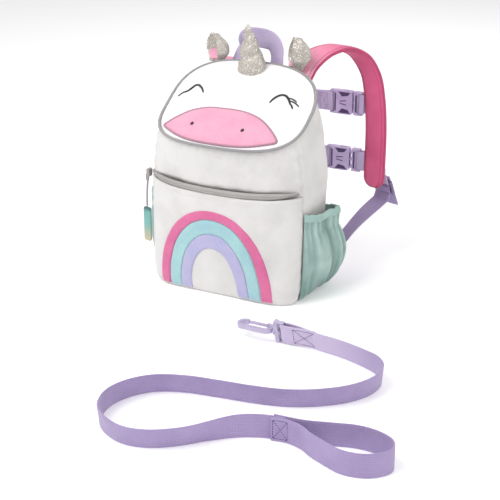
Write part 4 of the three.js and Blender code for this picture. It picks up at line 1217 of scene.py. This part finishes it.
MESH_LOW, MESH_HEM, HEM_FALL, MESH_BULGE = 3, 98, 6, 26
NET_THICK, HEM_THICK = 0.9, 1.6


def mesh_top(u):
    return MESH_HEM + HEM_FALL * (1 - 2 * u)


def mesh_out(u, v):
    rise = np.sin(np.pi * np.minimum(v, 0.86) ** 0.9) ** 0.7
    along = np.clip(np.sin(np.pi * u ** 1.15), 0, 1) ** 0.75
    fold = 1.3 * np.cos(u * np.pi * 10) * np.sin(np.pi * u) * (0.25 + v)
    low = 1 - smooth(0, 0.15, v)
    return 2.0 + 1.1 * low + (MESH_BULGE * rise + fold) * along


def mesh_grid(side, u, z, out):
    """Points that stand off the bag's side wall by out."""
    row = row_at(z)
    seam = seam_angle(row)

    def wall(ahead):
        return outline(row, mix(seam, np.pi - seam, u * 7 / 24) + 0.03 * (1 - u) + ahead)

    at, ahead = wall(0), wall(0.01)
    away = unit(np.stack([ahead[..., 1] - at[..., 1], at[..., 0] - ahead[..., 0]], -1))
    flat = at + away * out[..., None]
    return np.stack([side * flat[..., 0], flat[..., 1], z], -1)


def make_side_pocket(word, side):
    u, v = np.meshgrid(np.linspace(0, 1, 121), np.linspace(0, 1, 71))
    z = mix(MESH_LOW, mesh_top(u), v)
    body = np.sin(np.pi * np.clip(u, 0, 1)) ** 0.5
    phase = 1.6 * lumps(np.stack([u * 30, v * 60, 0 * u], -1), 14)
    depth = 0.5 + 0.9 * smooth(0.5, 1, v) + 0.7 * (1 - smooth(0, 0.3, v))
    gathers = np.sin(u * 2 * np.pi * 13 + phase) * depth
    creases = 1.8 * lumps(np.stack([u * 90, v * 22, 0 * u + 5], -1), 9)
    creases += 1.4 * np.abs(np.sin(u * 17 + v * 2.2)) ** 3
    folds = body * (1.1 * gathers + creases - 0.9)
    points = mesh_grid(side, u, z, np.maximum(mesh_out(u, v) + folds, 1.9))
    cloth_piece = sew(f"mesh_pocket_{word}_net", points, MINT_NET, NET_THICK, "mint_mesh",
                      f"mesh_pocket_{word}", (side * 60, 15, 50))
    # Painted shade for the net: darker in its inward folds and towards its bottom.
    store_fold_shade(cloth_piece, 0.32 - 0.26 * folds + 0.7 * (1 - smooth(0.0, 0.5, v)))
    u, v = np.meshgrid(np.linspace(0, 1, 241), np.linspace(0, 1, 15))
    base = np.maximum(mesh_out(u, 1 + 0 * u) + 0.3 - v, 2.8)
    puff = 1.0 * (1 - (2 * v - 1) ** 4)
    phase = 1.5 * lumps(np.stack([u * 40, 0 * u, 0 * u], -1), 6)
    ruffle = 0.55 * np.sin(u * 2 * np.pi * 46 + phase) * np.sin(np.pi * u) ** 0.3
    z = mesh_top(u) - 0.8 + 9.3 * v + 0.5 * np.sin(u * 61) * v
    sew(f"pocket_hem_{word}_elastic", mesh_grid(side, u, z, base + puff + ruffle), MINT_BINDING, HEM_THICK,
        "mint_mesh", f"pocket_hem_{word}", (side * 60, 15, 100))


for pocket_word, pocket_side in (("right", 1), ("left", -1)):
    make_side_pocket(pocket_word, pocket_side)


# Straps

PAD_WIDTH, PAD_THICK, PAD_TURN = 31, 8, -20
PAD_SEAM = 0.78  # share of the half width where the stitching runs


def lay_web(name, node, line, across, cup=0.0, material=LIT_LILAC_WEB):
    """A flat web along a line, in the stead of a node."""
    place(sweep(name, line, across, web_section(cup=cup), material), "lilac_web", node)


PADS = [
    ("right", 1, [
        [50, 57, 226], [50.5, 60.5, 244], [53, 69.5, 259], [59, 82, 269.5], [67, 98, 276], [79, 117, 277],
        [95, 135, 266.5], [107, 144, 244], [113, 146, 215], [117, 144, 180], [119, 140, 140], [120, 136, 102],
    ]),
    ("left", -1, [
        [50, 57, 222], [51, 61, 236], [54, 71, 246], [60, 85, 250], [69, 103, 250], [82, 122, 244],
        [96, 137, 228], [106, 144, 206], [113, 145, 184], [117, 143, 160], [119, 140, 137], [120, 136, 102],
    ]),
]
LOCK_PLACE, LOCK_TILT, LOCK_BAR, LOCK_TAIL = np.array([126, 155, 99]), 22, 8, 30
LOWER_ROUTE = [
    [125, 151.5, 82], [121, 140, 77], [116, 122, 70], [110, 102, 60], [105, 84, 50], [100, 70.5, 40],
    [92, 60, 31], [77, 52, 26],
]
MIRROR = np.array([-1.0, 1, 1])


def mirrored(rows, side):
    rows = np.array(rows, float)
    return rows * MIRROR if side < 0 else rows


def make_pad(word, side, route):
    """A padded strap with sewn channels, whose rim is bound."""
    line = resample(curve(mirrored(route, side)), 150)
    line = np.vstack([line[:-4], resample(line[-4:], 14)])
    t = np.linspace(0, 1, len(line))
    turn = np.radians(PAD_TURN * smooth(0.15, 0.5, t))
    wide = np.stack([np.cos(turn), side * np.sin(turn), 0 * t], -1)
    to_end = np.linalg.norm(line - line[-1], axis=1)
    end = np.sqrt(1 - (1 - np.clip((to_end + 0.6) / 13, 0, 1)) ** 2)
    half = PAD_WIDTH / 2 * np.minimum(1, 0.8 + 2 * t) * end
    thick = PAD_THICK / 2 * np.minimum(np.minimum(1, 0.55 + 6 * t), 0.55 + 9 * (1 - t))
    angle = np.arange(40) / 40 * 2 * np.pi
    c, s = np.cos(angle), np.sin(angle)
    a, b = signed(c, 0.55), signed(s, 0.8)
    channel = 1 - 0.3 * np.exp(-((np.abs(a) - PAD_SEAM) / 0.06) ** 2)
    bend = np.linalg.norm(np.gradient(np.gradient(line, axis=0), axis=0), axis=1)
    crease = 0.35 * (np.sin(t * 150) * smooth(0.08, 0.25, bend))[:, None] * (s < 0) * (1 - a ** 4)
    section = np.stack([a[None] * half[:, None], (b * channel)[None] * thick[:, None] + crease], -1)
    pad = sweep(f"shoulder_pad_{word}_cloth", line, wide, section, PINK_CLOTH)
    place(pad, "pink_cloth", f"shoulder_pad_{word}")
    width, out = frames(line, wide)
    edge = width * (half - 0.1)[:, None]
    rim, facing = np.vstack([line - edge, (line + edge)[::-1]]), np.vstack([out, out[::-1]])
    place(sweep(f"pad_binding_{word}", rim, facing, round_section(2.1, 10, 0.62), PINK_BINDING), "pink_cloth")
    seams = []
    for face in (-1, 1):
        for sign in (-1, 1):
            seam = line + width * (sign * half * PAD_SEAM)[:, None] + out * (face * thick * 0.76)[:, None]
            seams.append((seam[2:-2], out[2:-2] * face))
    place(stitches(f"pad_stitching_{word}", seams, PINK_THREAD, 3.6, 2.4), "pink_cloth")


def lock_frame(side):
    """A function that takes places in a ladder lock's own frame to the bag's."""
    tilt, turn = math.radians(LOCK_TILT), math.radians(PAD_TURN)
    c, s, ct, st = math.cos(turn), math.sin(turn), math.cos(tilt), math.sin(tilt)
    matrix = np.array([[c, -s * ct, s * st], [s, c * ct, -c * st], [0, st, ct]])

    def at(x, y, z):
        p = matrix @ np.array([x, y, z], float) + LOCK_PLACE
        return p * MIRROR if side < 0 else p

    return at


def make_lower_webs(word, side):
    """The web that holds a ladder lock, and the lower strap threaded through it."""
    at = lock_frame(side)
    line = [[122, 143.8, 126], [122.2, 143.6, 119], [123.2, 145.6, 114]]
    line = list(mirrored(line, side)) + [at(0, p, q) for p, q in wrap_arc(0, LOCK_BAR, 180, 180)]
    line = resample(line + [at(0, PLY, LOCK_BAR + 7)], 60)
    lay_web(f"lock_web_{word}_loop", f"lock_web_{word}", line, at(1, 0, 0) - at(0, 0, 0))
    threaded = [at(0, PLY + 1, -LOCK_TAIL), at(0, PLY + 0.6, -20), at(0, PLY, -LOCK_BAR)]
    threaded += [at(0, p, q) for p, q in wrap_arc(0, 0, 0, 180)] + [at(0, -PLY, -LOCK_BAR)]
    route = resample(curve(mirrored(LOWER_ROUTE, side)), 90)
    line = resample(np.vstack([threaded, route]), 190)
    joined = run_along(np.vstack([threaded, route[:1]]))[-1]
    total = joined + run_along(route)[-1]
    t = np.clip((np.linspace(0, total, len(line)) - joined) / (total - joined), 0, 1)[:, None]
    ways = np.array([[0.94, -0.34, 0], [0.9, -0.22, 0.36], [0.03, -0.05, 1]])
    way = mix(mix(ways[0], ways[1], smooth(0.1, 0.6, t)), ways[2], smooth(0.62, 0.97, t))
    # The lower straps take the darker tether webbing as painted shade.
    lay_web(f"lower_strap_{word}_web", f"lower_strap_{word}", line, way * [side, 1, 1], 0.8, TETHER_WEB)
    solid(f"ladder_lock_{word}", "lilac_plastic", LOCK_PLASTIC, 0.6)


# Each chest strap's height, depth, bars of its buckle, and where it meets the two pads
CHEST = [("upper", 202, 150.5, (54, 94), 98.6, -90.5), ("lower", 131, 144.4, (54, 96), 104.2, -103.6)]


def make_chest(word, z, y, bars, pad, far):
    end = pad - 0.4
    near = [(end, y + PLY)] + wrap_arc(bars[1], y, 90, 180) + [(end, y - PLY)]
    line = resample([[px, py, z] for px, py in near], 50)
    lay_web(f"chest_web_near_{word}_loop", f"chest_web_near_{word}", line, UP)
    t = np.linspace(0, 1, 50)[:-1]
    long = np.stack([mix(far + 0.4, bars[0], t), y + PLY * t, z - 3 * np.sin(np.pi * t)], -1)
    arc = [[px, py, z] for px, py in wrap_arc(bars[0], y, 90, -180)]
    line = resample(np.vstack([long, arc, [[bars[0] - 16, y - PLY, z]]]), 170)
    sway = 0.02 * np.sin(np.linspace(0, 14, len(line)))
    wide = np.stack([0 * sway, sway, 1 + 0 * sway], -1)
    lay_web(f"chest_web_far_{word}_web", f"chest_web_far_{word}", line, wide, 0.3)
    seams = box_stitch(np.array([bars[0] - 10, y - PLY - 0.9, z]), ACROSS, UP, -BACK, 9)
    place(stitches(f"chest_stitching_{word}", seams, LILAC_THREAD, *WEB_STITCH, 0.3), "lilac_web")
    for half in ("socket", "prong"):
        solid(f"buckle_{half}_{word}", "lilac_plastic", LILAC_PLASTIC, 0.9)


BUCKLE_GAPS = [
    [(59, -11.5), (61, -11.5), (61, 11.5), (59, 11.5)], [(64, 13.4), (80.5, 13.4), (77, 9), (69, 7.6)],
    [(64, -13.4), (69, -7.6), (77, -9), (80.5, -13.4)], [(66, 1.9), (75, 3.4), (75, 2.2), (66, 0.7)],
    [(66, -1.9), (66, -0.7), (75, -2.2), (75, -3.4)],
]
GAP_FRONT, SLOT_FRONT, GAP_THICK = 4.62, 3.55, 0.4


def make_buckle_gap_shade(word, z, y, bars):
    """Dark plates in the front of a buckle, painted shade where its arms and its web's slots show."""
    slot = [(bars[1] - 7.4, -11), (bars[1] - 5, -11), (bars[1] - 5, 11), (bars[1] - 7.4, 11)]
    verts, faces = [], []
    for gap, front in [(gap, GAP_FRONT) for gap in BUCKLE_GAPS] + [(slot, SLOT_FRONT)]:
        depths = (front, front - GAP_THICK)
        verts.append(np.array([(x, y - depth, z + up) for depth in depths for x, up in gap]))
        faces.append(drum(2, len(gap)))
    place(join_up(f"buckle_gap_shade_{word}", verts, faces, BUCKLE_GAP_SHADE), None)


for pad_word, pad_side, pad_route in PADS:
    make_pad(pad_word, pad_side, pad_route)
    make_lower_webs(pad_word, pad_side)
for chest_row in CHEST:
    make_chest(*chest_row)
    make_buckle_gap_shade(*chest_row[:4])


# Handle and the loop for the tether's hook: places, and the way the handle's web lies across them

HANDLE = [
    ([-31, 53.5, 232], [1, 0, 0]), ([-31, 54.3, 246], [1, 0, 0]), ([-31, 61.5, 261], [0.95, -0.3, 0.1]),
    ([-30, 66, 275], [0.75, -0.5, 0.4]), ([-24, 66.5, 285], [0.45, -0.35, 0.8]),
    ([-16, 66, 290], [0.05, -0.15, 1]), ([-5, 65, 291], [0, -0.15, 1]), ([4, 65.3, 290.3], [0.1, -0.15, 1]),
    ([12, 66, 287], [0.42, -0.2, 0.85]), ([17, 66.3, 280], [0.7, -0.3, 0.6]),
    ([19, 65.5, 269], [0.8, -0.4, 0.3]), ([19.5, 61, 258], [0.9, -0.35, 0.1]),
    ([20, 54.3, 244], [1, 0, 0]), ([20, 53.5, 230], [1, 0, 0]),
]
ANCHOR = [
    [0, 54.4, 66], [0, 55.4, 59], [0, 61.8, 52], [0, 62.4, 46], [0, 61.8, 40], [0, 54.6, 33], [0, 52.8, 26],
]


WAY_SCALE = 30  # how strongly the handle's ways draw its curve


def make_handle():
    both = resample(curve([at + [WAY_SCALE * w for w in way] for at, way in HANDLE]), 140)
    lay_web("grab_handle_web", "grab_handle", both[:, :3], both[:, 3:], 0.5)
    lay_web("tether_anchor_web", "tether_anchor", resample(curve(ANCHOR), 60), ACROSS)
    seams = []
    for x, y, z, length in ((-31, 55.3, 240, 11), (20, 55.3, 240, 11), (0, 56.2, 62, 5), (0, 55, 30, 5)):
        seams += box_stitch(np.array([x, y, z]), UP, ACROSS, BACK, length)
    place(stitches("back_web_stitching", seams, LILAC_THREAD, *WEB_STITCH, 0.3), "lilac_web")


make_handle()


# Floor and light

FLOOR_REACH = 6
FLOOR_GLOW = 0.16
WORLD_LIGHT = 0.6
LIGHTS = [  # turn, height, distance, size and power
    ("key", -25, 50, 1.6, 1.0, 15.5), ("fill", 75, 35, 1.8, 1.4, 8), ("back", 190, 45, 1.8, 1.4, 7),
]


def make_stage():
    material, _, shader = new_material("pale_floor", 0.9)
    shader.inputs["Base Color"].default_value = (0.95, 0.95, 0.95, 1)
    shader.inputs["Emission Color"].default_value = (1, 1, 1, 1)
    shader.inputs["Emission Strength"].default_value = FLOOR_GLOW
    corners = [(x * FLOOR_REACH, y * FLOOR_REACH, 0) for x, y in ((-1, -1), (1, -1), (1, 1), (-1, 1))]
    mesh = bpy.data.meshes.new("floor")
    mesh.from_pydata(corners, [], [(0, 1, 2, 3)])
    mesh.materials.append(material)
    floor = bpy.data.objects.new("floor", mesh)
    bpy.context.scene.collection.objects.link(floor)
    world = bpy.data.worlds.new("studio")
    world.use_nodes = True
    background = world.node_tree.nodes["Background"]
    background.inputs["Color"].default_value = (1, 1, 1, 1)
    background.inputs["Strength"].default_value = WORLD_LIGHT
    bpy.context.scene.world = world
    for light in LIGHTS:
        add_light(*light)
    bpy.context.scene.view_settings.view_transform = "Standard"


make_stage()

bpy.context.view_layer.update()
